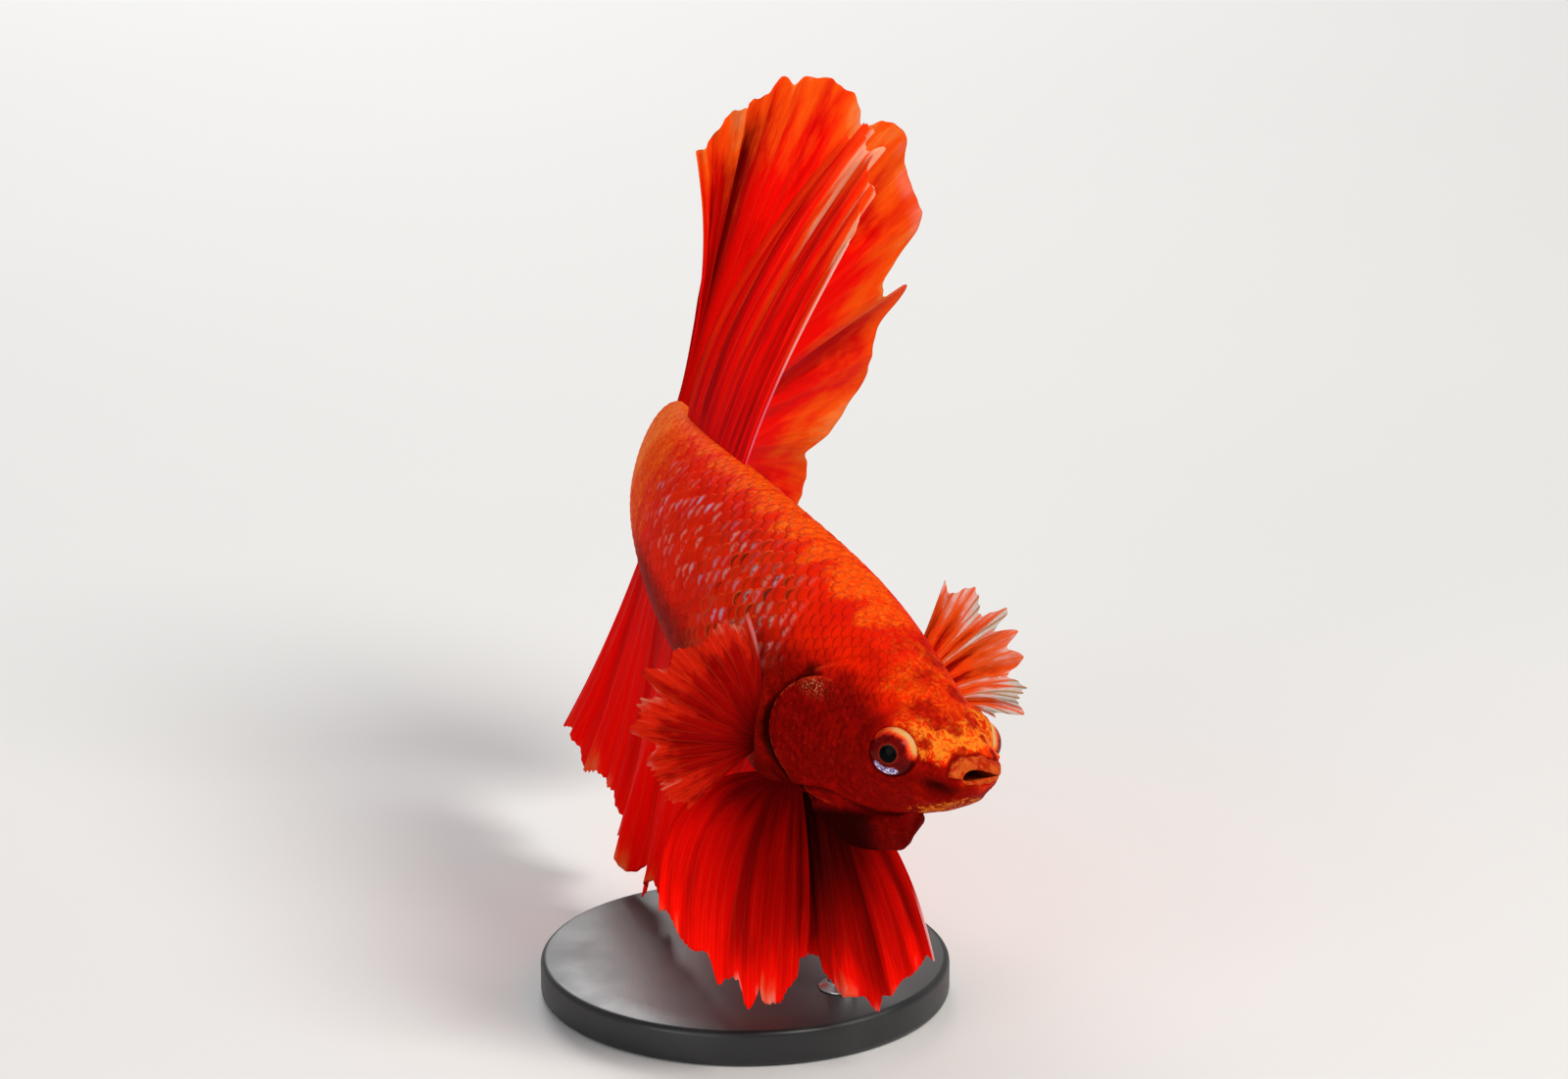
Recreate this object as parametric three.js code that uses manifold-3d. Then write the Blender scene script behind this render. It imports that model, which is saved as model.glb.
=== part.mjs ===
// A male betta (Siamese fighting fish), life size, swimming with its body curved to the left, on a
// plain stand. Millimetres, +Z up. The origin is the middle of the stand's underside. The fish faces -Y
// and its left side is +X.
import * as THREE from "three";
import { mergeVertices } from "three/addons/utils/BufferGeometryUtils.js";
import Module from "manifold-3d";

const wasm = await Module();
wasm.setup();

// ---------------------------------------------------------------- driving dimensions

const BODY_LENGTH = 46; // snout tip to the root of the tail fin, along the curved back bone
const GAP = 0.2; // clearance between neighbouring pieces
const FIN_THICKNESS = 0.55;
const ROLL = 10; // degrees that the left side is lower than the right
const ANCHOR = { at: 24, height: 23.2 }; // this point of the back bone stands over the origin
const HEAD_END = 13.2;
const TRUNK_MIDDLE = 25.5;
const TRUNK_END = 38.5;
const EYE = { at: 4.2, side: 3.05, up: 0.55, radius: 1.45 };
const ORBIT = { at: 4.3, side: 2.5, radius: 1.8 }; // the raised rim of flesh round the eye
const JAW = { end: 3.4, top: -0.15, slope: -0.22 }; // the gape's depth, its height at the lips and its fall
const GILL_COVER = { at: 9.6, up: -1.3, side: 4.3, length: 3.4, height: 3.9, width: 1.5, proud: 0.2 };
const THROAT = { at: 8.8, up: -4.3, length: 4.4, height: 2.5, width: 2.2 }; // the loose gill membrane
const BASE = { radius: 12, height: 2.2, edge: 0.4 };
const ROD = { at: 16.5, side: 2.8, radius: 0.8 };
const SNOUT_ROUND = 1.6; // the length over which the snout closes in to a point
const ROOT_ROUND = 1.0; // the same at the root of the tail fin
const AHEAD = -3; // a station clear of the snout
const REACH = 12; // further than any flesh lies from the back bone
const FACETS = { flesh: [24, 32], lump: [14, 10], eye: [16, 10], base: 48, rod: 16 };

// The back bone, station by station: heading is the way to the tail, in degrees from +Y towards +X, and pitch
// is its rise.
const BACK_BONE = [
  { at: 0, heading: -20, pitch: 4 },
  { at: 12, heading: -12, pitch: 7 },
  { at: 20, heading: -2, pitch: 10 },
  { at: 28, heading: 4, pitch: 10 },
  { at: 38, heading: 13, pitch: 8 },
  { at: 46, heading: 26, pitch: 5 },
];

// Cross-sections: height of the back over the bone, depth of the belly under it, half width, and how keeled
// the back and the belly are (1 is an ellipse, less is flatter and more is sharper).
const BODY = [
  { at: 0, up: 0.6, down: 1.0, side: 1.7, back: 0.85, belly: 1.0 },
  { at: 2, up: 1.9, down: 2.3, side: 2.6, back: 0.85, belly: 1.0 },
  { at: 4, up: 3.1, down: 3.3, side: 3.3, back: 0.85, belly: 1.0 },
  { at: 6, up: 4.35, down: 4.1, side: 3.8, back: 0.85, belly: 1.0 },
  { at: 9, up: 5.9, down: 5.0, side: 4.4, back: 0.9, belly: 1.0 },
  { at: 12, up: 7.0, down: 5.6, side: 4.7, back: 0.9, belly: 1.05 },
  { at: 15, up: 7.7, down: 6.0, side: 4.6, back: 0.95, belly: 1.1 },
  { at: 20, up: 8.0, down: 6.1, side: 4.35, back: 1.0, belly: 1.2 },
  { at: 28, up: 7.3, down: 5.4, side: 3.85, back: 1.05, belly: 1.3 },
  { at: 36, up: 5.9, down: 4.6, side: 2.95, back: 1.1, belly: 1.3 },
  { at: 42, up: 4.8, down: 4.2, side: 2.2, back: 1.1, belly: 1.2 },
  { at: 46, up: 4.0, down: 4.2, side: 1.4, back: 1.0, belly: 1.0 },
];

// Fins. Each ray is written as: its place in the fin from 0 to 1, its root on the body (station, height and
// side), then the middle and the tip of its curve from that root, each as [back, up, left] along the body.
// Ruffles grow towards the margin, and the margin is cut into lobes.
const FINS = {
  dorsal_fin: {
    rays: [
      [0, 28.5, 6.2, 0, [4, 5.4, 2], [6.9, 12.8, 6]],
      [0.25, 31, 6, 0, [4.3, 6.2, 2.3], [7.3, 15.1, 8]],
      [0.5, 33.5, 5.6, 0, [4.4, 7.3, 1.9], [7.6, 17, 8.5]],
      [0.75, 36.5, 5.1, 0, [4.3, 7.8, 1.3], [7.1, 17.8, 8.5]],
      [1, 39.5, 4.6, 0, [3, 6.7, 0], [6.3, 17.2, 7.8]],
    ],
    waves: 2.5, phase: 0.2, ruffle: 0.5, lobes: 5, notch: 0.03, across: 18, out: 5,
  },
  caudal_fin: {
    rays: [
      [0, 45, 3.4, 0, [2.6, 7.5, 1.1], [3.2, 15.3, -1.6]],
      [0.12, 45, 2.8, 0, [3.8, 10.5, 1], [4.9, 19.8, 1.6]],
      [0.25, 45, 2, 0, [4.9, 11.9, 2.8], [7.2, 21.5, 5.2]],
      [0.37, 45, 1.2, 0, [5.2, 11.5, 4.6], [10.4, 19.3, 10.4]],
      [0.5, 45, 0.3, 0, [5.5, 8.6, 6.4], [12.8, 13.6, 13.9]],
      [0.62, 45, -0.6, 0, [7.1, 4.3, 6.8], [15, 5.3, 12.7]],
      [0.75, 45, -1.6, 0, [8.5, -0.4, 5.2], [13.8, -3.2, 9.9]],
      [0.87, 45, -2.6, 0, [6.1, -3.6, 2.8], [11.3, -9.4, 7.6]],
      [1, 45, -3.4, 0, [3, -5.9, 0.8], [7.5, -13.7, 4]],
    ],
    waves: 6, phase: 0, ruffle: 0.6, lobes: 9, notch: 0.07, across: 34, out: 5,
  },
  anal_fin: {
    rays: [
      [0, 17.5, -5.2, 0, [1.2, -5, -1.2], [1.2, -9.6, -0.3]],
      [0.2, 22, -5.2, 0, [0.4, -7.3, -0.1], [0.9, -13.7, 0.4]],
      [0.4, 28, -4.8, 0, [0.1, -7.6, 0.1], [0.5, -16.4, 0.8]],
      [0.6, 34, -4.4, 0, [0.3, -7.8, 0.5], [1, -17.1, 0.8]],
      [0.8, 40, -3.8, 0, [0.7, -8.5, 0.5], [2.1, -17, -0.3]],
      [1, 44.8, -3.7, 0, [0.7, -9, -1], [2.8, -16.3, -2.9]],
    ],
    waves: 4, phase: 0.1, ruffle: 1.0, lobes: 6, notch: 0.08, across: 26, out: 5,
  },
  pelvic_fin_right: {
    rays: [
      [0, 14.3, -5, -2.2, [2.5, -0.5, -6.6], [-1.6, -8.5, -6.4]],
      [0.33, 14.2, -5.2, -1.7, [0.4, -2.4, -4.8], [-3.7, -10.5, -4.7]],
      [0.66, 13.9, -5.3, -1.1, [-2, -5.2, -1.9], [-5, -12.2, -2]],
      [1, 13.4, -5.4, -0.6, [-1.8, -5.2, 1.1], [-2.7, -9.5, 1]],
    ],
    waves: 2, phase: 0, ruffle: 0.4, lobes: 4, notch: 0.06, across: 12, out: 5,
  },
  pelvic_fin_left: {
    rays: [
      [0, 12.8, -5, 1.5, [-3.4, -1.2, 2.3], [-7.7, -7, 3]],
      [0.33, 13.4, -5.1, 1.3, [-4.4, -4.7, 1.2], [-8.1, -10.7, 2.1]],
      [0.66, 14, -5.2, 0.8, [-3.1, -5.6, 1], [-6.1, -11.2, 1.4]],
      [1, 14.6, -5.2, 0.1, [-1.5, -5.4, 0.7], [-2.3, -9.9, 1.2]],
    ],
    waves: 2, phase: 0.5, ruffle: 0.4, lobes: 4, notch: 0.06, across: 12, out: 5,
  },
  pectoral_fin_right: {
    rays: [
      [0, 13.8, -1.6, -4.4, [-0.3, 3.5, -0.3], [2.4, 5.9, -0.7]],
      [0.2, 13.8, -2, -4.4, [0.2, 2.5, -2.3], [2.9, 4.1, -3.1]],
      [0.4, 13.8, -2.4, -4.4, [-0.1, 1.3, -3.4], [3.4, 2.3, -5.5]],
      [0.6, 13.8, -2.8, -4.4, [-0.3, 0.4, -3.6], [2.7, -0.3, -6.1]],
      [0.8, 13.8, -3.1, -4.3, [-0.6, -0.5, -2.9], [1.3, -2.4, -5.5]],
      [1, 13.8, -3.4, -4.2, [-0.8, -0.4, -1.7], [-0.3, -3.5, -4.0]],
    ],
    waves: 3, phase: 0, ruffle: 0.2, lobes: 6, notch: 0.06, across: 12, out: 4,
  },
  pectoral_fin_left: {
    rays: [
      [0, 13.8, -1.6, 4.4, [1.2, 2, 2.9], [2.7, 6.9, 5.4]],
      [0.2, 13.8, -2, 4.4, [1.2, 3, 3.4], [1.4, 6.9, 7.1]],
      [0.4, 13.8, -2.4, 4.4, [1.2, 3.4, 3.7], [0.2, 6.3, 8.3]],
      [0.6, 13.8, -2.8, 4.4, [0.7, 3.4, 4.4], [-1, 4.4, 8.8]],
      [0.8, 13.8, -3.1, 4.3, [0.5, 3.5, 4.7], [-1.8, 2.8, 8.8]],
      [1, 13.8, -3.4, 4.2, [0.4, 3.5, 4.8], [-1.2, 1.8, 7.8]],
    ],
    waves: 3, phase: 0, ruffle: 0.2, lobes: 6, notch: 0.06, across: 12, out: 4,
  },
};

// ---------------------------------------------------------------- the curved frame of the body

// A smooth curve through values at given stations, by cubic pieces whose slopes come from the neighbours.
function smooth(places, values, x) {
  const last = places.length - 1;
  let i = 0;
  while (i < last - 1 && x > places[i + 1]) i += 1;
  const slope = (k) => {
    const a = Math.max(k - 1, 0);
    const b = Math.min(k + 1, last);
    return (values[b] - values[a]) / (places[b] - places[a]);
  };
  const width = places[i + 1] - places[i];
  const t = THREE.MathUtils.clamp((x - places[i]) / width, 0, 1);
  const t2 = t * t;
  const t3 = t2 * t;
  return (
    (2 * t3 - 3 * t2 + 1) * values[i] +
    (t3 - 2 * t2 + t) * width * slope(i) +
    (3 * t2 - 2 * t3) * values[i + 1] +
    (t3 - t2) * width * slope(i + 1)
  );
}

function along(table, key, s) {
  return smooth(table.map((row) => row.at), table.map((row) => row[key]), s);
}

function tailward(s) {
  const heading = THREE.MathUtils.degToRad(along(BACK_BONE, "heading", s));
  const pitch = THREE.MathUtils.degToRad(along(BACK_BONE, "pitch", s));
  return new THREE.Vector3(
    Math.sin(heading) * Math.cos(pitch),
    Math.cos(heading) * Math.cos(pitch),
    Math.sin(pitch),
  );
}

// Places along the back bone, summed up step by step.
const STEP = 0.25;
const bonePlaces = (() => {
  const places = [new THREE.Vector3()];
  for (let s = 0; s < BODY_LENGTH + 2; s += STEP) {
    places.push(places.at(-1).clone().addScaledVector(tailward(s + STEP / 2), STEP));
  }
  const anchor = places[Math.round(ANCHOR.at / STEP)].clone();
  const home = new THREE.Vector3(0, 0, ANCHOR.height);
  return places.map((p) => p.sub(anchor).add(home));
})();

// Place and axes of the body at station s: back (to the tail), up and left.
function frameAt(s) {
  const k = THREE.MathUtils.clamp(s / STEP, 0, bonePlaces.length - 2);
  const i = Math.floor(k);
  const place = bonePlaces[i].clone().lerp(bonePlaces[i + 1], k - i);
  const back = tailward(s);
  if (s < 0) place.addScaledVector(back, s);
  const level = new THREE.Vector3(back.y, -back.x, 0).normalize();
  const above = new THREE.Vector3().crossVectors(level, back);
  const roll = THREE.MathUtils.degToRad(ROLL);
  const left = level.clone().multiplyScalar(Math.cos(roll)).addScaledVector(above, -Math.sin(roll));
  const up = above.clone().multiplyScalar(Math.cos(roll)).addScaledVector(level, Math.sin(roll));
  return { place, back, up, left };
}

function inFrame(frame, backward, upward, leftward) {
  return frame.place
    .clone()
    .addScaledVector(frame.back, backward)
    .addScaledVector(frame.up, upward)
    .addScaledVector(frame.left, leftward);
}

function onBody(s, upward, leftward) {
  return inFrame(frameAt(s), 0, upward, leftward);
}

// ---------------------------------------------------------------- solids

// A closed three.js geometry made into a solid, each of its vertices moved by a rule on the way.
function solid(geometry, rule) {
  geometry.deleteAttribute("normal");
  geometry.deleteAttribute("uv");
  const merged = mergeVertices(geometry, 1e-5);
  const position = merged.getAttribute("position");
  for (let i = 0; i < position.count; i += 1) {
    const p = rule(position.getX(i), position.getY(i), position.getZ(i));
    position.setXYZ(i, p.x, p.y, p.z);
  }
  const index = merged.index.array;
  const corners = [];
  for (let i = 0; i < index.length; i += 3) {
    const [a, b, c] = index.slice(i, i + 3);
    if (a !== b && b !== c && c !== a) corners.push(a, b, c);
  }
  return new wasm.Manifold(
    new wasm.Mesh({ numProp: 3, vertProperties: position.array, triVerts: new Uint32Array(corners) }),
  );
}

function geometryOf(manifold) {
  const { vertProperties, triVerts } = manifold.getMesh();
  const geometry = new THREE.BufferGeometry();
  geometry.setAttribute("position", new THREE.BufferAttribute(new Float32Array(vertProperties), 3));
  geometry.setIndex(new THREE.BufferAttribute(new Uint32Array(triVerts), 1));
  return geometry;
}

// How far the body closes in at its ends: a quarter ellipse over the snout and over the root of the tail.
function closing(s) {
  const snout = THREE.MathUtils.clamp(1 - s / SNOUT_ROUND, 0, 1);
  const root = THREE.MathUtils.clamp(1 - (BODY_LENGTH - s) / ROOT_ROUND, 0, 1);
  return Math.sqrt((1 - snout ** 2) * (1 - root ** 2));
}

// A point of the skin at station s and at an angle round the body, from the back (0) over the left side.
function skin(s, angle, grow) {
  const c = Math.cos(angle);
  const n = Math.sin(angle);
  const close = closing(s);
  const height = along(BODY, c > 0 ? "up" : "down", s);
  const keel = along(BODY, c > 0 ? "back" : "belly", s);
  const across = Math.sign(n) * Math.abs(n) ** keel;
  return onBody(s, c * (height * close + grow), across * (along(BODY, "side", s) * close + grow));
}

// The flesh of the whole body: a sphere whose poles become the snout and the root of the tail.
function flesh(grow) {
  return solid(new THREE.SphereGeometry(1, ...FACETS.flesh), (x, y, z) => {
    const s = (BODY_LENGTH * (1 - y)) / 2;
    return skin(s, Math.atan2(-x, z), grow);
  });
}

// A ball stretched to given half sizes along the body, up and to the side, and bent with the body.
function lump(at, upward, leftward, length, height, width) {
  return solid(new THREE.SphereGeometry(1, ...FACETS.lump), (x, y, z) =>
    onBody(at - length * z, upward + height * y, leftward + width * x),
  );
}

// All that lies between two stations, as a block bent with the body; its top can slope down tailwards.
function stretch(from, to, top = REACH, slope = 0) {
  return solid(new THREE.BoxGeometry(1, 1, 1, 1, 1, 8), (x, y, z) => {
    const s = from + (0.5 - z) * (to - from);
    const upward = y > 0 ? top + slope * Math.max(s, 0) : -REACH;
    return onBody(s, upward, 2 * x * REACH);
  });
}

// ---------------------------------------------------------------- fins

// The fan without its ruffles: across goes from ray to ray and outward from root to margin, both 0 to 1.
function fanPoint(fin, across, outward) {
  const places = fin.rays.map((ray) => ray[0]);
  const value = (pick) => smooth(places, fin.rays.map(pick), across);
  const frame = frameAt(value((ray) => ray[1]));
  const root = [0, value((ray) => ray[2]), value((ray) => ray[3])];
  const cut = fin.notch * (0.5 - 0.5 * Math.cos(2 * Math.PI * fin.lobes * across));
  const t = outward * (1 - cut);
  const [backward, upward, leftward] = root.map((start, axis) => {
    const middle = value((ray) => ray[4][axis]);
    const tip = value((ray) => ray[5][axis]);
    return start + 2 * t * (1 - t) * middle + t * t * tip;
  });
  return inFrame(frame, backward, upward, leftward);
}

// The direction square to a surface of two parameters, from its neighbours.
function squareTo(surface, a, b) {
  const e = 1e-3;
  const da = surface(Math.min(a + e, 1), b).sub(surface(Math.max(a - e, 0), b));
  const db = surface(a, Math.min(b + e, 1)).sub(surface(a, Math.max(b - e, 0)));
  return new THREE.Vector3().crossVectors(da, db).normalize();
}

function finPoint(fin, across, outward) {
  const wave = Math.sin(2 * Math.PI * (fin.waves * across + fin.phase));
  const smoothFan = (a, b) => fanPoint(fin, a, b);
  const p = smoothFan(across, outward);
  return p.addScaledVector(squareTo(smoothFan, across, outward), fin.ruffle * outward ** 1.6 * wave);
}

// The fan as a slab of even thickness, from just inside the body out to the margin.
function finSolid(fin) {
  const membrane = (a, b) => finPoint(fin, a, b);
  return solid(new THREE.BoxGeometry(1, 1, 1, fin.across, fin.out, 1), (x, y, z) => {
    const a = THREE.MathUtils.clamp(0.5 - x, 0, 1);
    const b = THREE.MathUtils.clamp(y + 0.5, 0, 1);
    return membrane(a, b).addScaledVector(squareTo(membrane, a, b), -z * FIN_THICKNESS);
  });
}

// ---------------------------------------------------------------- pieces

const fish = new THREE.Group();

function add(name, color, roughness, geometry, metalness = 0) {
  const mesh = new THREE.Mesh(geometry, new THREE.MeshStandardMaterial({ color, roughness, metalness }));
  mesh.name = name;
  fish.add(mesh);
}

function eyeball(side, grow) {
  const place = onBody(EYE.at, EYE.up, side * EYE.side);
  return solid(new THREE.SphereGeometry(EYE.radius + grow, ...FACETS.eye), (x, y, z) =>
    new THREE.Vector3(x, y, z).add(place),
  );
}

function orbit(side) {
  return lump(ORBIT.at, EYE.up, side * ORBIT.side, ORBIT.radius, ORBIT.radius, ORBIT.radius);
}

function gillCoverRegion(side, grow) {
  const g = GILL_COVER;
  return lump(g.at, g.up, side * g.side, g.length + grow, g.height + grow, g.width + grow);
}

function throatRegion(grow) {
  const t = THROAT;
  return lump(t.at, t.up, 0, t.length + grow, t.height + grow, t.width + grow);
}

const SIDES = [["right", -1], ["left", 1]];
const whole = flesh(0);
const clearOfBody = flesh(GAP);

function headSolid() {
  let head = whole.intersect(stretch(AHEAD, HEAD_END - GAP / 2));
  for (const [, side] of SIDES) {
    head = head.add(orbit(side)).subtract(eyeball(side, GAP)).subtract(gillCoverRegion(side, GAP));
  }
  return head.subtract(stretch(AHEAD, JAW.end + GAP, JAW.top + GAP, JAW.slope)).subtract(throatRegion(GAP));
}

function addFlesh() {
  add("head", 0xd03a0a, 0.45, geometryOf(headSolid()));
  const jaw = whole.intersect(stretch(AHEAD, JAW.end, JAW.top, JAW.slope));
  let clearJaw = jaw;
  for (const [, side] of SIDES) clearJaw = clearJaw.subtract(orbit(side)).subtract(eyeball(side, GAP));
  add("lower_jaw", 0xb81c06, 0.45, geometryOf(clearJaw));
  const throat = throatRegion(0).intersect(stretch(JAW.end + GAP, HEAD_END - GAP / 2));
  add("gill_membrane", 0x8e0a04, 0.5, geometryOf(throat));
  const trunk = [
    ["trunk_front", 0xd92c08, HEAD_END, TRUNK_MIDDLE],
    ["trunk_rear", 0xd93a0a, TRUNK_MIDDLE, TRUNK_END],
    ["tail_stalk", 0xe0561c, TRUNK_END, BODY_LENGTH + 2],
  ];
  for (const [name, color, from, to] of trunk) {
    add(name, color, 0.42, geometryOf(whole.intersect(stretch(from + GAP / 2, to - GAP / 2))));
  }
  for (const [name, side] of SIDES) {
    const cover = flesh(GILL_COVER.proud).intersect(gillCoverRegion(side, 0));
    add(`gill_cover_${name}`, 0xa81004, 0.4, geometryOf(cover.subtract(throatRegion(GAP))));
    add(`eye_${name}`, 0x2a0806, 0.08, geometryOf(eyeball(side, 0)));
  }
}

function addFins() {
  for (const [name, fin] of Object.entries(FINS)) {
    const clear = finSolid(fin).subtract(clearOfBody).decompose();
    clear.sort((a, b) => b.volume() - a.volume());
    add(name, 0xd01806, 0.5, geometryOf(clear[0]));
  }
}

function addStand() {
  const { radius, height, edge } = BASE;
  const profile = [
    [0, 0], [radius - edge, 0], [radius, edge], [radius, height - edge], [radius - edge, height], [0, height],
  ].map(([x, y]) => new THREE.Vector2(x, y));
  const disc = new THREE.LatheGeometry(profile, FACETS.base);
  const base = solid(disc, (x, y, z) => new THREE.Vector3(x, -z, y));
  add("stand_base", 0x222222, 0.4, geometryOf(base));
  const foot = onBody(ROD.at, 0, ROD.side);
  const length = foot.z - height - GAP;
  const pin = new THREE.CylinderGeometry(ROD.radius, ROD.radius, length, FACETS.rod);
  const middle = height + GAP + length / 2;
  const rod = solid(pin, (x, y, z) => new THREE.Vector3(foot.x + x, foot.y - z, middle + y));
  add("stand_rod", 0xb8b8b8, 0.25, geometryOf(rod.subtract(clearOfBody)), 1);
}

addFlesh();
addFins();
addStand();

export default fish;
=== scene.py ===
"""The looks of a life-size male betta on its display stand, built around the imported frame.

The tables and the functions that shape things work in millimetres, and meshes are written in metres. +Z is
up, the fish faces -Y and its left side is +X. A place on the fish is written (s, up, left): the station s
runs along the curved back bone from the snout to the root of the tail fin, as if the fish were straight,
and bend() curves it.
"""

import math

import bpy
import numpy as np
from bpy.props import FloatProperty, FloatVectorProperty, IntProperty, PointerProperty
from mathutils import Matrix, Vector


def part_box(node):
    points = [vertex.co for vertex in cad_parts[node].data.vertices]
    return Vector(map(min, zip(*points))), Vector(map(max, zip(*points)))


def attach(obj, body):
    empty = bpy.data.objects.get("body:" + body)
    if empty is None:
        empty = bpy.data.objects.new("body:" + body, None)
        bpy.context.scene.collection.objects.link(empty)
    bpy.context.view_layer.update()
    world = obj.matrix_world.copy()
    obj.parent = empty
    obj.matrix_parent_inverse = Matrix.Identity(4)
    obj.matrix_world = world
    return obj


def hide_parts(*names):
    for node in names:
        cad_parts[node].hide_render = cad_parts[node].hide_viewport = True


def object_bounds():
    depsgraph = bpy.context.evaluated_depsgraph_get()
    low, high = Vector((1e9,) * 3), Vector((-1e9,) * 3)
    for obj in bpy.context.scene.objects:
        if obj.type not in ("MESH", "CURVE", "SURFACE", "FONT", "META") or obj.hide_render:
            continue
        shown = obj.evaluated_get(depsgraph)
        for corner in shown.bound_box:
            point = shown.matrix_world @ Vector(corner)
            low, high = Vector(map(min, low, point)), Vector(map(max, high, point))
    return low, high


bl_info = {
    "name": "Betta fish model",
    "version": (1, 0, 0),
    "blender": (4, 5, 0),
    "location": "View3D > Sidebar > Betta",
    "description": "Builds the skin, scales, eyes, fins and stand of a life-size betta fish",
    "category": "Add Mesh",
}

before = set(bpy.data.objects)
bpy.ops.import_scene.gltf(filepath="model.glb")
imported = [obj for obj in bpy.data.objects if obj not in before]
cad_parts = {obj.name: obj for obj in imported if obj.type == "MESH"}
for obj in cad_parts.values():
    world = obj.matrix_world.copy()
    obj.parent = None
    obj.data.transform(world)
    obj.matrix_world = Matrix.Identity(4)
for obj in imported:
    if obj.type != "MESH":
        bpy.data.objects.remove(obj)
CAD_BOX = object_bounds()

MM = 0.001
TURN = 2 * np.pi
BODY_LENGTH = 46.0
ROLL = 10.0  # degrees that the back leans over to the left
ANCHOR_AT = 24.0  # the station that stands over the middle of the base, this high
ANCHOR_HEIGHT = 23.2
DEEPEST = 20.0  # the station where the body is deepest
STEP = 0.25  # from point to point of the back bone
SNOUT_ROUND = 1.6  # how far the rounding of the body's two ends reaches
ROOT_ROUND = 2.4

FLESH = ("head", "lower_jaw", "gill_membrane", "trunk_front", "trunk_rear", "tail_stalk")
FLESH += ("gill_cover_right", "gill_cover_left")
SIDES = (("right", -1), ("left", 1))

# Back bone: station, heading to the tail in degrees from +Y towards +X, rise in degrees.
BACK_BONE = np.array(
    [
        (0.0, -20.0, 4.0),
        (12.0, -12.0, 7.0),
        (20.0, -2.0, 10.0),
        (28.0, 4.0, 10.0),
        (38.0, 13.0, 8.0),
        (46.0, 26.0, 5.0),
    ]
)

# Cross-sections: station, height over the bone, depth under it, half width, and how sharp the keels of the
# back and of the belly are.
BODY = np.array(
    [
        (0, 0.6, 1.0, 1.7, 0.85, 1.0),
        (2, 1.9, 2.3, 2.6, 0.85, 1.0),
        (4, 3.1, 3.3, 3.3, 0.85, 1.0),
        (6, 4.35, 4.1, 3.8, 0.85, 1.0),
        (9, 5.9, 5.0, 4.4, 0.9, 1.0),
        (12, 7.0, 5.6, 4.7, 0.9, 1.05),
        (15, 7.7, 6.0, 4.6, 0.95, 1.1),
        (20, 8.0, 6.1, 4.35, 1.0, 1.2),
        (28, 7.3, 5.4, 3.85, 1.05, 1.3),
        (36, 5.9, 4.6, 2.95, 1.1, 1.3),
        (42, 4.8, 4.2, 2.2, 1.1, 1.2),
        (46, 4.0, 4.2, 1.4, 1.0, 1.0),
    ]
)

# Where things lie on the head, as (s, up, left) on the left side. The right side mirrors them.
EYE = {"at": (4.2, 0.55, 3.05), "radius": 1.45, "forward": 25.0, "upward": 4.0}
MOUTH = {"half_width": 1.42, "gape": 0.46, "height": 0.24, "droop": 0.19, "depth": 2.2}
LIPS = {"upper": (0.94, 0.24), "lower": (0.3, 0.11), "forward": 0.3}  # width and height of each roll
LIPS_END = {"away": 2.0, "station": 3.0}  # past either there is no lip
FRONT = 2.2  # the station where the rings round the mouth meet the rings round the body
GILL_COVER = {"at": (9.3, -0.9), "half": (3.25, 3.7)}
SHOULDER_PLATE = {"at": (8.4, 0.9), "half": (2.95, 3.1)}
CHEEK_PLATE = {"at": (6.4, -1.0), "half": (2.7, 2.5)}
JAW_LINE = np.array(  # station and height of the fold under the cheek
    [(3.0, -2.9), (4.8, -3.45), (6.1, -3.8), (7.3, -3.75), (8.6, -3.5), (10.5, -3.9), (12.5, -4.6)]
)
THROAT = {"at": 8.8, "up": -4.3, "length": 4.4, "height": 2.5, "width": 2.2, "from": -3.7}
BLOTCHES = (  # station, up, left and radius of the dark spots of the forehead
    (5.8, 4.1, -0.3, 0.55),
    (4.1, 2.9, -1.5, 0.7),
    (3.2, 2.4, -1.3, 0.5),
    (2.75, 1.45, -2.35, 0.3),
    (2.4, 2.1, -0.7, 0.42),
    (1.4, 1.4, -0.9, 0.3),
    (4.6, 3.3, 1.4, 0.6),
    (3.0, 2.3, 1.1, 0.45),
    (6.9, 4.4, 1.3, 0.5),
    (2.0, 1.7, 1.3, 0.3),
)

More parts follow.
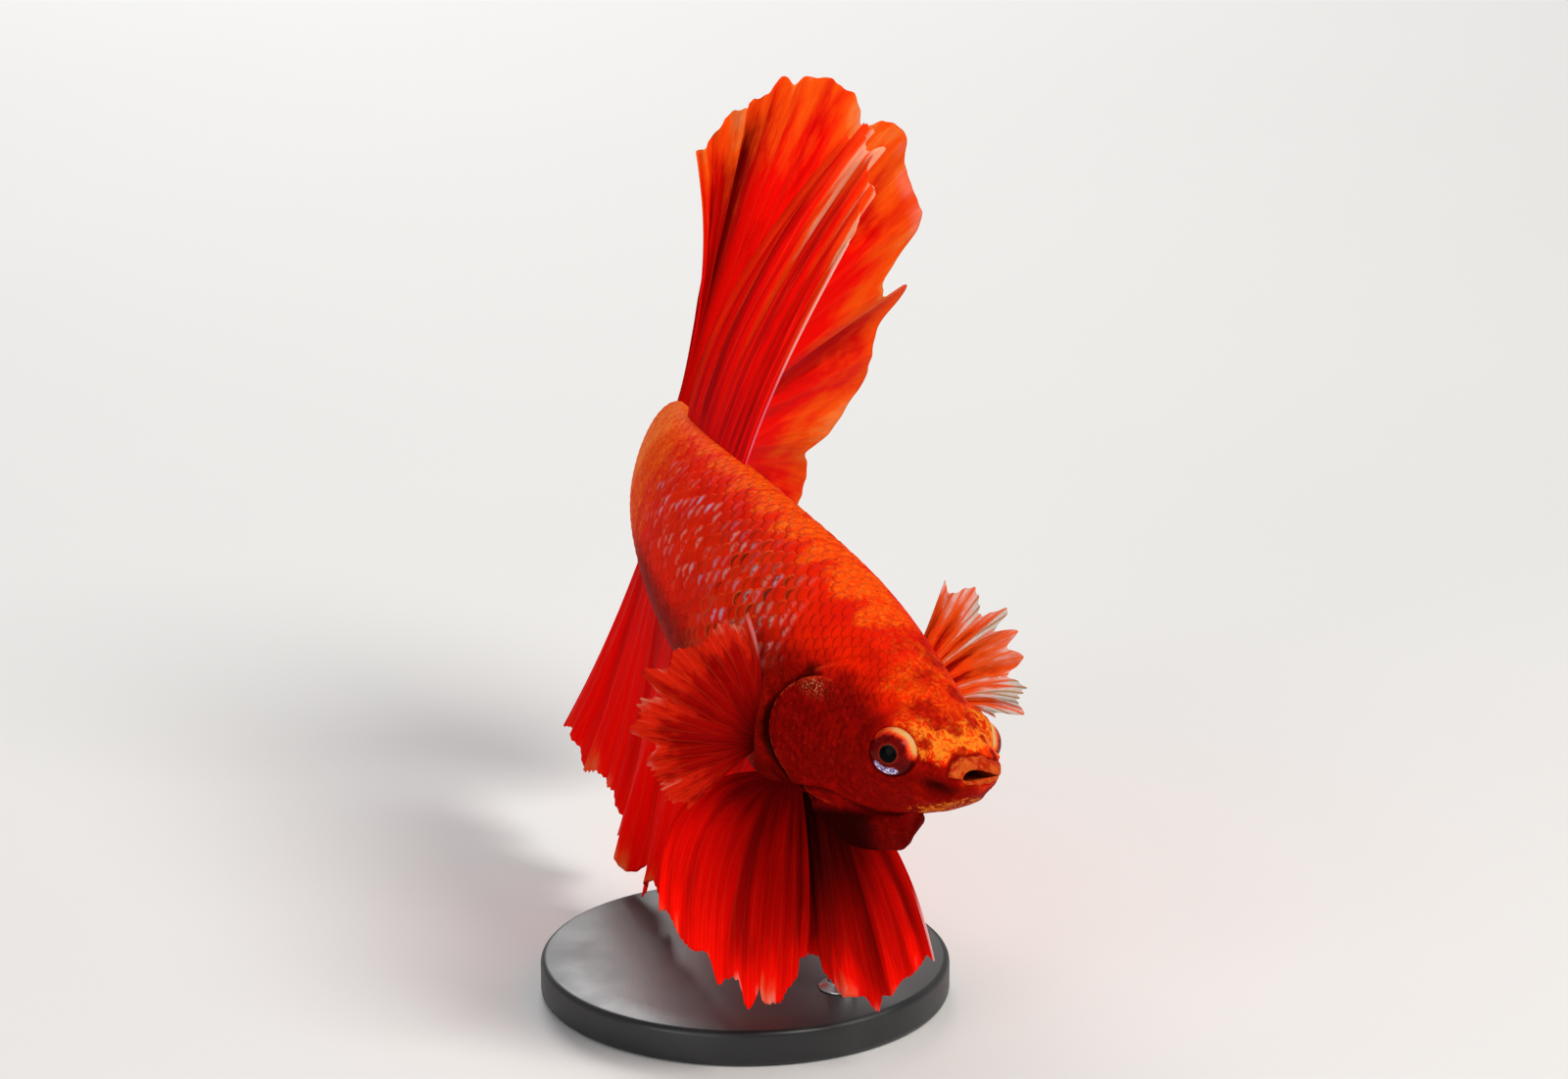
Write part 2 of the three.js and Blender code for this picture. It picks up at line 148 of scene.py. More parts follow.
# Fins. A ray is written (place across the fin; station, up and left of its root; then the middle and the
# tip of its curve, each as back, up and left from that root). Folds and torn ends are in millimetres, a
# notch or a trim is a share of the fin's reach, and grid counts the points across and out.
PLAIN_FIN = {"crowd": 1.0, "pleat": 0.1, "relief": 0.5, "trims": ()}
FINS = {
    "dorsal_fin": {
        "rays": [
            (0, 28.5, 6.2, 0, 4, 5.4, 2, 6.9, 12.8, 6),
            (0.25, 31, 6, 0, 4.3, 6.2, 2.3, 7.3, 15.1, 8),
            (0.5, 33.5, 5.6, 0, 4.4, 7.3, 1.9, 7.6, 17, 8.5),
            (0.75, 36.5, 5.1, 0, 4.3, 7.8, 1.3, 7.1, 17.8, 8.5),
            (1, 39.5, 4.6, 0, 3, 6.7, 0, 6.3, 17.2, 7.8),
        ],
        "waves": 3.6, "phase": 0.15, "ruffle": 0.75, "lobes": 5, "notch": 0.04, "bite": 0.4,
        "bony_rays": 11, "splits": (0.45, 0.8), "relief": 0.6, "grid": (420, 60),
    },
    "caudal_fin": {
        "rays": [
            (0, 45, 3.4, 0, 2.6, 7.5, 1.1, 3.2, 15.3, -1.6),
            (0.12, 45, 2.8, 0, 3.8, 10.5, 1, 4.9, 19.8, 1.6),
            (0.25, 45, 2, 0, 4.9, 11.9, 2.8, 7.2, 21.5, 5.2),
            (0.37, 45, 1.2, 0, 5.2, 11.5, 4.6, 10.4, 19.3, 10.4),
            (0.5, 45, 0.3, 0, 5.5, 8.6, 6.4, 12.8, 13.6, 13.9),
            (0.62, 45, -0.6, 0, 7.1, 4.3, 6.8, 15, 5.3, 12.7),
            (0.75, 45, -1.6, 0, 8.5, -0.4, 5.2, 13.8, -3.2, 9.9),
            (0.87, 45, -2.6, 0, 6.1, -3.6, 2.8, 11.3, -9.4, 7.6),
            (1, 45, -3.4, 0, 3, -5.9, 0.8, 7.5, -13.7, 4),
        ],
        "waves": 6.5, "phase": 0.1, "crowd": 0.7, "ruffle": 0.75, "lobes": 10, "notch": 0.055, "bite": 0.6,
        "trims": (
            (0.1, 0.04, 0.04), (0.205, 0.02, 0.06), (0.265, 0.02, -0.03), (0.335, 0.022, 0.09),
            (0.42, 0.025, 0.04), (0.49, 0.02, 0.035), (0.53, 0.022, 0.14), (0.555, 0.018, 0.1),
            (0.601, 0.014, -0.12), (0.667, 0.012, -0.035), (0.712, 0.035, 0.13), (0.73, 0.012, 0.04),
        ),
        "bony_rays": 15, "splits": (0.3, 0.6), "grid": (640, 62),
    },
    "anal_fin": {
        "rays": [
            (0, 17.5, -5.2, 0, 1.2, -5, -1.2, 1.2, -9.6, -0.3),
            (0.2, 22, -5.2, 0, 0.4, -7.3, -0.1, 0.9, -13.7, 0.4),
            (0.4, 28, -4.8, 0, 0.1, -7.6, 0.1, 0.5, -16.4, 0.8),
            (0.6, 34, -4.4, 0, 0.3, -7.8, 0.5, 1, -17.1, 0.8),
            (0.8, 40, -3.8, 0, 0.9, -8.5, 0.5, 2.4, -17.4, -0.3),
            (1, 45.4, -3.5, 0, 1.4, -9, -1.3, 3.9, -16.9, -3.4),
        ],
        "waves": 5, "phase": 0.1, "crowd": 0.9, "ruffle": 0.9, "lobes": 7, "notch": 0.09, "bite": 0.6,
        "bony_rays": 24, "splits": (0.45, 0.75), "grid": (700, 56),
    },
    "pelvic_fin_right": {
        "rays": [
            (0, 14.3, -5, -2.2, 2.5, -0.5, -6.6, -1.6, -8.5, -6.4),
            (0.33, 14.2, -5.2, -1.7, 0.4, -2.4, -4.8, -3.7, -10.5, -4.7),
            (0.66, 13.9, -5.3, -1.1, -2, -5.2, -1.9, -5, -12.2, -2),
            (1, 13.4, -5.4, -0.6, -1.8, -5.2, 1.1, -2.7, -9.5, 1),
        ],
        "waves": 3.2, "phase": 0, "ruffle": 0.5, "lobes": 5, "notch": 0.05, "bite": 0.5,
        "trims": ((0.2, 0.3, 0.06), (0.62, 0.05, 0.05)),
        "bony_rays": 10, "splits": (0.25, 0.6), "relief": 0.35, "pleat": 0.07, "grid": (420, 60),
    },
    "pelvic_fin_left": {
        "rays": [
            (0, 12.8, -5, 1.5, -3.4, -1.2, 2.3, -7.7, -7, 3),
            (0.33, 13.4, -5.1, 1.3, -4.4, -4.7, 1.2, -8.1, -10.7, 2.1),
            (0.66, 14, -5.2, 0.8, -3.1, -5.6, 1, -6.1, -11.2, 1.4),
            (1, 14.6, -5.2, 0.1, -1.5, -5.4, 0.7, -2.3, -9.9, 1.2),
        ],
        "waves": 2.6, "phase": 0.5, "ruffle": 0.5, "lobes": 4, "notch": 0.05, "bite": 0.5,
        "trims": ((0.28, 0.12, 0.1), (0.0, 0.05, -0.06)),
        "bony_rays": 10, "splits": (0.25, 0.6), "relief": 0.35, "pleat": 0.07, "grid": (420, 60),
    },
    "pectoral_fin_right": {
        "rays": [
            (0, 13.8, -1.6, -4.4, -0.3, 3.5, -0.3, 2.4, 5.9, -0.7),
            (0.2, 13.8, -2, -4.4, 0.2, 2.5, -2.3, 2.9, 4.1, -3.1),
            (0.4, 13.8, -2.4, -4.4, -0.1, 1.3, -3.4, 3.4, 2.3, -5.5),
            (0.6, 13.8, -2.8, -4.4, -0.3, 0.4, -3.6, 2.7, -0.3, -6.1),
            (0.8, 13.8, -3.1, -4.3, -0.6, -0.5, -2.9, 1.3, -2.4, -5.5),
            (1, 13.8, -3.4, -4.2, -0.8, -0.4, -1.7, -0.3, -3.5, -4.0),
        ],
        "waves": 2.2, "phase": 0.3, "ruffle": 0.3, "lobes": 8, "notch": 0.1, "bite": 0.9,
        "bony_rays": 10, "splits": (0.3, 0.65), "relief": 0.6, "grid": (660, 56),
    },
    "pectoral_fin_left": {
        "rays": [
            (0, 13.8, -1.6, 4.4, 1.4, 2.2, 2.7, 3.2, 7.2, 4.9),
            (0.2, 13.8, -2, 4.4, 1.2, 3, 3.4, 1.5, 6.7, 6.7),
            (0.4, 13.8, -2.4, 4.4, 1.2, 3.4, 3.7, 0.3, 6.1, 7.8),
            (0.6, 13.8, -2.8, 4.4, 0.7, 3.4, 4.4, -0.8, 4.3, 8.3),
            (0.8, 13.8, -3.1, 4.3, 0.5, 3.5, 4.7, -1.8, 2.8, 8.8),
            (1, 13.8, -3.4, 4.2, 0.4, 3.5, 4.8, -1.2, 1.8, 7.8),
        ],
        "waves": 2.2, "phase": 0.6, "ruffle": 0.3, "lobes": 7, "notch": 0.12, "bite": 0.9,
        "bony_rays": 7, "splits": (0.3, 0.65), "relief": 0.8, "pleat": 0.16, "grid": (560, 56),
    },
}

# The skin's grid: points round it, rings of its inside of the mouth and of the snout, then rings from
# station to station of the body.
SKIN_AROUND = 300
MOUTH_RINGS = 12
SNOUT_RINGS = 64
BODY_KNOTS = (FRONT, 3.0, 5.9, 8.0, 11.6, 13.4, 20.0, 45.0, 45.97)
BODY_RINGS = (12, 48, 20, 28, 26, 26, 62, 12)
EYE_RINGS = 72
EYE_AROUND = 96

SCALES = {"from": 4.2, "to": 45.4, "pitch": 0.76, "half_long": 1.16, "half_wide": 0.67, "sunk": 0.02}
SCALE_CELLS = 6  # points across one scale
SCALE_SEED = 7
PATCH = 0.003  # size of one scale on its UV map

FLESH_SHEEN = (1.0, 0.4, 0.32, 1.0)
FIN_SHEEN = (1.0, 0.4, 0.34, 1.0)

BASE = {"radius": 12.0, "height": 2.2, "edge": 0.4, "around": 128}
ROD = {"radius": 0.8, "flare": 0.5, "sunk": 0.2, "around": 48}
EDGE_POINTS = 6

# The stage, in metres. A light has its place from the model's middle, its width, its watts and its tint.
LIGHTS = {
    "key": ((0.16, -0.28, 0.34), 0.22, 1.7, (1.0, 0.97, 0.93)),
    "fill": ((-0.4, -0.25, 0.12), 0.3, 0.62, (0.95, 0.97, 1.0)),
    "rim": ((0.1, 0.4, 0.25), 0.2, 0.9, (1.0, 1.0, 1.0)),
}
AIM = (0.002084, -0.000918, 0.027743)
FLOOR_HALF = 1.5


# ------------------------------------------------------------------ sizes and colours a user may change


def colour(name, description, value):
    """A colour that a user may pick."""
    limits = {"subtype": "COLOR", "size": 4, "min": 0.0, "max": 1.0}
    return FloatVectorProperty(name=name, description=description, default=(*value, 1.0), **limits)


def length(name, description, millimetres):
    """A length that a user may set."""
    kind = {"subtype": "DISTANCE", "unit": "LENGTH", "precision": 5}
    return FloatProperty(name=name, description=description, default=millimetres * MM, **kind)


class BettaSizes(bpy.types.PropertyGroup):
    scale_rows: IntProperty(
        name="Scale rows", description="Rows of scales round the body", default=38, min=12
    )
    scale_lift: length("Scale lift", "How far the free edge of a scale stands over the skin", 0.06)
    scale_thickness: length("Scale thickness", "Thickness of one scale", 0.035)
    coat_depth: length("Coat depth", "How far the skin lies under the tips of the scales", 0.1)
    membrane: length("Membrane", "Thickness of a fin between its rays", 0.07)
    bony_ray: length("Ray", "Thickness of a fin ray at its root", 0.24)


class BettaColours(bpy.types.PropertyGroup):
    red: colour("Red", "Flanks", (0.72, 0.009, 0.002))
    orange: colour("Orange", "Back, nape and forehead", (0.9, 0.075, 0.003))
    yellow: colour("Yellow", "Snout and the rims of the eyes", (0.82, 0.27, 0.018))
    # Dark red is the cheeks' own colour, and also paints shade on the low flank and behind the mouth's
    # corner.
    dark_red: colour("Dark red", "Cheeks, gill covers and belly", (0.12, 0.001, 0.0008))
    blotch: colour("Blotch", "Ragged spots on the forehead", (0.3, 0.003, 0.001))
    shadow: colour("Shadow", "Folds, gaps between scales and the throat", (0.012, 0.0008, 0.0006))
    glint: colour("Glint", "Pale shine on scales", (0.8, 0.3, 0.24))
    # Cream is partly the eyes' own pale colour and partly a painted highlight.
    cream: colour("Cream", "Tops of the eyes", (0.6, 0.48, 0.2))


class BettaStudio(bpy.types.PropertyGroup):
    azimuth: FloatProperty(name="Azimuth", description="Camera's way round the fish", default=-24.0)
    elevation: FloatProperty(name="Elevation", description="Camera's height as an angle", default=18.0)
    distance: FloatProperty(name="Distance", description="From camera to aim", unit="LENGTH", default=0.350)
    lens: FloatProperty(name="Lens", description="Focal length on a 36 mm sensor", default=140.0)
    sky: FloatProperty(name="Sky", description="Strength of the even light all round", default=0.33)
    floor: colour("Floor", "Pale studio floor", (0.78, 0.77, 0.75))


# ------------------------------------------------------------------ the curved body


def smooth(places, values, x):
    """Cubic pieces through the values at places; the slope at a place is the chord between its neighbours."""
    values = np.asarray(values, float)
    x = np.asarray(x, float)
    slopes = np.empty_like(values)
    width = (places[2:] - places[:-2]).reshape((-1,) + (1,) * (values.ndim - 1))
    slopes[1:-1] = (values[2:] - values[:-2]) / width
    slopes[0] = (values[1] - values[0]) / (places[1] - places[0])
    slopes[-1] = (values[-1] - values[-2]) / (places[-1] - places[-2])
    i = np.clip(np.searchsorted(places, x, side="left") - 1, 0, len(places) - 2)
    w = places[i + 1] - places[i]
    t = np.clip((x - places[i]) / w, 0, 1)
    shape = t.shape + (1,) * (values.ndim - 1)
    t = t.reshape(shape)
    w = w.reshape(shape)
    return (
        (2 * t**3 - 3 * t**2 + 1) * values[i]
        + (t**3 - 2 * t**2 + t) * w * slopes[i]
        + (3 * t**2 - 2 * t**3) * values[i + 1]
        + (t**3 - t**2) * w * slopes[i + 1]
    )


def ease(low, high, x):
    """0 below low, 1 above high, and a smooth cubic between them; low may be the larger."""
    t = np.clip((x - low) / (high - low), 0, 1)
    return t * t * (3 - 2 * t)


def window(x, low, full, still_full, high):
    """0 below low, 1 from full to still_full and 0 above high, eased between them."""
    return ease(low, full, x) * ease(high, still_full, x)


def bell(x, width):
    """A bell curve: 1 at 0, falling as e to the minus square of x over width."""
    return np.exp(-((x / width) ** 2))


def tailward(s):
    """Unit vectors to the tail at stations s, from the heading and the rise of the back bone."""
    heading, rise = np.radians(smooth(BACK_BONE[:, 0], BACK_BONE[:, 1:], s)).T
    return np.stack([np.sin(heading) * np.cos(rise), np.cos(heading) * np.cos(rise), np.sin(rise)], -1)


def bone_places():
    """Points of the back bone every STEP, each the last one plus a step tailwards, moved onto the anchor."""
    middles = np.arange(0, BODY_LENGTH + 2, STEP) + STEP / 2
    places = np.vstack([np.zeros(3), np.cumsum(tailward(middles) * STEP, axis=0)])
    return places - places[round(ANCHOR_AT / STEP)] + (0, 0, ANCHOR_HEIGHT)


BONE = bone_places()


def frames(s):
    """Place, back, up and left of the body at stations s: up and left are square to back, left starts
    level, and both roll about back."""
    s = np.asarray(s, float)
    flat = s.ravel()
    k = np.clip(flat / STEP, 0, len(BONE) - 2)
    i = np.floor(k).astype(int)
    part = (k - i)[:, None]
    back = tailward(flat)
    place = BONE[i] * (1 - part) + BONE[i + 1] * part + back * np.minimum(flat, 0)[:, None]
    level = np.stack([back[:, 1], -back[:, 0], np.zeros(len(flat))], -1)
    level /= np.linalg.norm(level, axis=1, keepdims=True)
    above = np.cross(level, back)
    roll = math.radians(ROLL)
    left = level * math.cos(roll) - above * math.sin(roll)
    up = above * math.cos(roll) + level * math.sin(roll)
    return [v.reshape(s.shape + (3,)) for v in (place, back, up, left)]


def bend(points):
    """Straight places (s, up, left) on the curved body: bone place plus up and left along its axes."""
    place, _, up, left = frames(points[..., 0])
    return place + up * points[..., 1:2] + left * points[..., 2:3]


def unit(vectors):
    """Each vector over its own length."""
    return vectors / np.maximum(np.linalg.norm(vectors, axis=-1, keepdims=True), 1e-12)


# ------------------------------------------------------------------ the surface of the body, straightened


def closing(s):
    """How far the body closes in at its ends: a quarter ellipse over the snout and over the tail root."""
    snout = np.clip(1 - s / SNOUT_ROUND, 0, 1)
    root = np.clip(1 - (BODY_LENGTH - s) / ROOT_ROUND, 0, 1)
    return np.sqrt(np.maximum((1 - snout**2) * (1 - root**2), 0))


def outline(s):
    """The columns of BODY at stations s, along the last axis."""
    return smooth(BODY[:, 0], BODY[:, 1:], s)


def with_throat(s, up, left):
    """Pushes the underside of the head out to the egg-shaped gill membrane, along lines from a point
    inside it, by a soft maximum of the distances to the body and to the egg."""
    t = THROAT
    share = np.sqrt(np.maximum(1 - ((s - t["at"]) / t["length"]) ** 2, 0))
    high = t["height"] * share + 1e-6
    wide = t["width"] * share + 1e-6
    middle = t["from"]
    du = up - middle
    near = np.hypot(du, left) + 1e-9
    a = (du / near / high) ** 2 + (left / near / wide) ** 2
    lift = middle - t["up"]
    b = du / near * lift / high**2
    c = (lift / high) ** 2 - 1
    root = b * b - a * c
    far = np.where(root > 0, (-b + np.sqrt(np.maximum(root, 0))) / a, 0)
    far = np.where(c < 0, np.maximum(far, 0), 0)
    soft = 0.25
    reach = 0.5 * (near + far + np.sqrt((near - far) ** 2 + soft**2)) - 0.5 * soft * bell(far - near, 1.2)
    reach = np.where(far > 0.3 * near, np.maximum(reach, near), near)
    return middle + du / near * reach, left / near * reach


def section(s, angle, grow=0.0):
    """Up and left of the body's outline at station s and at an angle from the back over the left side,
    grown by a length: a keeled ellipse, with the gill membrane under it."""
    c, n = np.cos(angle), np.sin(angle)
    close = closing(s)
    table = outline(s)
    height = np.where(c > 0, table[..., 0], table[..., 1])
    keel = np.where(c > 0, table[..., 3], table[..., 4])
    up = c * (height * close + grow)
    left = np.sign(n) * np.abs(n) ** keel * (table[..., 2] * close + grow)
    return with_throat(s, up, left)


def plate_edge(s, up, plate):
    """Distance past an oval plate's rim: its own radius there, less one, in the plate's mean half size."""
    ds = (s - plate["at"][0]) / plate["half"][0]
    du = (up - plate["at"][1]) / plate["half"][1]
    return (np.hypot(ds, du) - 1) * 0.5 * sum(plate["half"])


def jaw_line(s):
    """Height of the fold under the cheek at stations s."""
    return smooth(JAW_LINE[:, 0], JAW_LINE[:, 1], s)


def distance(s, up, left, point):
    """Straight distance of places from one point (s, up, left)."""
    return np.sqrt((s - point[0]) ** 2 + (up - point[1]) ** 2 + (left - point[2]) ** 2)


def beside(left):
    """0 along the middle of the body and 1 on its two sides."""
    return ease(0.6, 1.8, np.abs(left))


def outwards_share(s, up, left):
    """How far out low places lie, as a share of the half ellipse under the back bone."""
    table = outline(s)
    return np.hypot(up / table[..., 1], left / table[..., 2])


def throat_share(s, up, left):
    """0 on the plain body, 1 on the gill membrane: how far a low point lies outside the body's ellipse."""
    return ease(1.01, 1.12, outwards_share(s, up, left)) * (up < 0) * window(s, 3.4, 4.4, 13.5, 14.5)


def relief(s, up, left):
    """Height of the head's features over the plain body: raised plates with grooves past their rims, hollows
    and small mounds, each a bell or an eased step."""
    side = np.abs(left)
    on_side = beside(left)
    # the gill cover, and the groove behind it
    past = plate_edge(s, up, GILL_COVER)
    rear = ease(8.0, 10.2, s) * on_side * ease(4.0, 3.2, up)
    height = 0.22 * rear * window(past, -2.2, -0.1, -0.02, 0.05)
    height -= 0.4 * rear * ease(9.8, 11.0, s) * bell(past - 0.18, 0.14)
    # the plate over it and the cheek's plate
    past = plate_edge(s, up, SHOULDER_PLATE)
    band = ease(7.6, 8.6, s) * on_side * window(up, 0.9, 1.8, 4.2, 5.0)
    height += band * (0.08 * window(past, -1.0, -0.05, -0.02, 0.04) - 0.12 * bell(past - 0.1, 0.1))
    past = plate_edge(s, up, CHEEK_PLATE)
    band = ease(6.8, 7.8, s) * on_side
    height += band * (0.04 * bell(past + 0.2, 0.25) - 0.05 * bell(past - 0.05, 0.12))
    # the fold under the cheek, the hollow behind the mouth's corner and the chin's bulge
    over = up - jaw_line(s)
    band = window(s, 3.4, 4.6, 11.6, 12.6) * ease(0.3, 0.9, side)
    height += band * (0.12 * bell(over - 0.3, 0.35) - 0.22 * bell(over + 0.08, 0.13))
    height -= 0.34 * bell(s - 1.75, 0.85) * bell(up + 0.8, 0.45) * on_side
    height += 0.14 * bell(s - 1.9, 1.0) * bell(up + 1.6, 0.3) * on_side
    # the nostril's tube and the pit behind it
    nostril = np.hypot(s - 1.6, up - 0.72)
    height += (0.2 * bell(nostril, 0.15) - 0.16 * bell(nostril, 0.06)) * on_side
    height -= 0.18 * bell(np.hypot(s - 2.15, up - 0.35), 0.14) * on_side
    # the roots of the pectoral and the pelvic fins
    height += 0.35 * bell(np.hypot(s - 14.1, (up + 2.5) / 1.4), 0.8)
    height += 0.45 * bell(np.hypot(s - 14.6, up + 4.6), 1.1) * ease(0.8, 1.8, side)
    # the crumpled gill membrane, and a faint lumpiness of the head
    crumple = np.sin(TURN * (0.62 * up + 0.16 * s)) + 0.5 * np.sin(TURN * (0.45 * s - 0.5 * side))
    height += 0.13 * crumple * throat_share(s, up, left)
    lumpy = np.sin(2.1 * s + 1.3 * up) * np.sin(1.7 * left + 0.4 * s)
    lumpy += 0.5 * np.sin(4.3 * s - 2.9 * left + up)
    return height + 0.025 * lumpy * ease(9.0, 5.0, s)


def coat_depth(s):
    """Depth of the skin under the scales' tips: nothing on the snout, all of it from the nape back."""
    return bpy.context.scene.betta_sizes.coat_depth / MM * ease(4.5, 8.0, s)


def body_surface(s, angle):
    """Straight places and normals of the bare skin: the outline drawn in by the coat's depth, moved by
    the relief along the normal, which comes from small steps along and round the body."""
    e = 0.02

    def plain(ds, da):
        up, left = section(s + ds, angle + da, -coat_depth(s))
        return np.stack([s + ds + 0 * up, up, left], -1)

    middle = plain(0, 0)
    normal = unit(np.cross(plain(0, e) - plain(0, -e), plain(e, 0) - plain(-e, 0)))
    return middle + normal * relief(middle[..., 0], middle[..., 1], middle[..., 2])[..., None], normal


# ------------------------------------------------------------------ markings, shared by skin and scales


def rise_of(s, up):
    """Height as a share of the body's own: -1 at the belly, 0 at the back bone and 1 at the back."""
    table = outline(s)
    return np.clip(up / np.where(up > 0, table[..., 0], table[..., 1]), -1, 1)


def snout_border(left):
    """Height where the snout's yellow top ends: high over the lips, dipped in the middle, lower beside."""
    return 0.72 + 0.68 * ease(2.15, 1.45, np.abs(left)) - 0.2 * bell(left + 0.1, 0.35)


def tube_mark(s, up, left):
    """The pale tubes of the nostrils."""
    return 0.6 * bell(np.hypot(s - 1.62, up - 0.68), 0.2) * ease(0.9, 1.5, np.abs(left))


def orange_mark(s, up, left):
    """The ridge of the back, the forehead, the tail stalk and the front of the chin, with wavy borders."""
    rise = rise_of(s, up)
    wobble = 0.06 * np.sin(1.9 * s + 2 * rise) + 0.05 * np.sin(3.1 * s - 4 * rise + left)
    ridge = ease(0.84, 1.0, rise + 0.5 * wobble) * ease(7, 11, s)
    stalk = ease(29, 41, s + 16 * wobble) * ease(-1.0, -0.1, rise)
    low = 0.15 + 0.5 * ease(3.0, 8.0, s)
    forehead = ease(13.0, 7.0, s) * ease(low, low + 0.45, rise + wobble)
    chin = ease(1.4, 0.4, s) * window(up, -1.0, -0.5, -0.2, 0.1)
    return np.maximum.reduce([0.85 * ridge, stalk, 0.5 * forehead, 0.36 * chin])


def yellow_mark(s, up, left):
    """The top of the snout, the brows, the chin, the lids in front of the eyes and the nostrils' tubes."""
    side = np.abs(left)
    snout = window(s, 0.6, 1.0, 2.2, 3.9) * ease(-0.15, 0.2, up - snout_border(left))
    brow = bell(s - 3.4, 1.1) * bell(side - 1.9, 0.5) * ease(0.9, 1.7, up)
    chin = window(s, 0.4, 0.9, 3.0, 4.6) * bell(rise_of(s, up) + 0.84 + 0.1 * side / 1.8, 0.16)
    chin = 0.72 * chin * (outwards_share(s, up, left) < 1.1)
    eye = EYE["at"]
    lid = bell(distance(s, up, side, eye) - 1.75, 0.3)
    lid = lid * ease(eye[0] + 0.6, eye[0] - 0.6, s) * ease(-0.6, 0.6, up - eye[1])
    return np.maximum.reduce([0.8 * snout, 0.6 * brow, chin, 0.9 * lid, tube_mark(s, up, left)])


def dark_red_and_shade_mark(s, up, left):
    """The cheek and gill cover, the muzzle beside the lips, the lower jaw and the crown, with painted shade
    on the low flank, darker towards the belly, and in the hollow behind the mouth's corner."""
    side = np.abs(left)
    rise = rise_of(s, up)
    cheek = window(s, 1.6, 3.2, 13.5, 17) * ease(0.75, 0.2, rise - 0.18 * bell(s - 7.5, 2.6))
    muzzle = window(s, 0.2, 0.8, 3.0, 3.8) * ease(0.8, 1.4, side) * ease(0.05, -0.25, up - snout_border(left))
    # Painted shade: the low flank, darker towards the belly.
    flank = window(s, 12, 16, 31, 40) * ease(0.2, -0.3, rise)
    # Painted shade in the hollow behind the mouth's corner.
    corner = bell(s - 1.75, 1.1) * bell(up + 0.8, 0.75) * ease(0.8, 1.6, side)
    jaw = ease(4.4, 2.6, s) * ease(0.0, -0.35, rise) * ease(-0.4, 0.8, s + 0.4 * side)
    crown = window(s, 1.4, 2.8, 8.0, 11.5) * ease(0.3, 0.6, rise)
    parts = [0.95 * cheek, 0.8 * muzzle, 0.95 * flank, corner, 0.75 * jaw, 0.34 * crown]
    return np.maximum.reduce(parts) - tube_mark(s, up, left)


def blotch_mark(s, up, left):
    """The dark spots, each eased off with the distance from its middle."""
    mark = np.zeros_like(s)
    for *middle, radius in BLOTCHES:
        mark = np.maximum(mark, ease(2.3 * radius, 0.2 * radius, distance(s, up, left, middle)))
    return mark


def gill_marks(s, up, left):
    """The shade behind the gill cover, wider below; the light rims of the cover and of the plate over it; and
    the pale patch at its top."""
    on_side = beside(left)
    past = plate_edge(s, up, GILL_COVER)
    rear = ease(8.6, 10.2, s) * ease(4.0, 3.2, up) * on_side
    gap = 0.3 + 1.0 * ease(1.2, -1.5, up)
    behind = rear * window(s, 9.8, 11.0, 15.0, 17.0) * ease(-0.02, 0.06, past) * ease(1.2, 0.4, past / gap)
    beyond = plate_edge(s, up, SHOULDER_PLATE)
    flap = ease(9.2, 9.8, s) * ease(2.6, 3.0, up) * on_side
    rim = rear * window(past, -0.2, -0.07, -0.02, 0.05)
    rim = np.maximum(rim, 0.8 * flap * window(beyond, -0.22, -0.1, -0.02, 0.06))
    pale = bell(np.hypot((s - 10.1) / 1.5, up - 2.2), 0.42) * ease(0.0, -0.1, past) * on_side
    return behind, rim, pale


def shade_mark(s, up, left, behind):
    """The notch over the gill cover, the gill membrane, the breast, the hollow behind the mouth's corner
    and the fold under the cheek, with the shade behind the gill cover."""
    side = np.abs(left)
    notch = 0.8 * bell(np.hypot(s - 10.95, up - 2.9), 0.4) * beside(left)
    under = throat_share(s, up, left) * (0.96 - 0.75 * bell(s - 5.2, 0.9))
    breast = window(s, 9.5, 12.0, 13.5, 17.0) * ease(-0.5, -0.8, rise_of(s, up))
    hollow = bell(s - 1.5, 1.1) * bell(up + 0.78, 0.55) * ease(0.9, 1.6, side)
    fold = window(s, 3.4, 4.6, 11.6, 13) * ease(0.3, 0.9, side) * bell(up - jaw_line(s) + 0.1, 0.16)
    return np.maximum.reduce([0.94 * behind, notch, under, 0.6 * breast, 0.9 * hollow, 0.7 * fold])


def markings(s, up, left):
    """Masks from 0 to 1 of the fish's colours at straight places, all of them eased bands and bells."""
    place = (s, up, left)
    behind, rim, pale = gill_marks(*place)
    masks = {"orange": orange_mark(*place), "yellow": yellow_mark(*place), "dark": dark_red_and_shade_mark(*place)}
    masks |= {"blotch": blotch_mark(*place), "shade": shade_mark(*place, behind), "pale": pale, "rim": rim}
    return {key: np.clip(mask, 0, 1) for key, mask in masks.items()}


# ------------------------------------------------------------------ mesh writing


def tube_faces(rings, around):
    """Quads of a tube of rings, closed round, and two fans that close its ends on one more point each."""
    i, j = np.meshgrid(np.arange(rings - 1), np.arange(around), indexing="ij")
    k = (j + 1) % around
    quads = np.stack([i * around + j, i * around + k, (i + 1) * around + k, (i + 1) * around + j], -1)
    ring = np.arange(around)
    following = (ring + 1) % around
    first = np.stack([following, ring, np.full(around, rings * around)], -1)
    last = (rings - 1) * around
    end = np.stack([last + ring, last + following, np.full(around, rings * around + 1)], -1)
    return [quads.reshape(-1, 4), first, end]


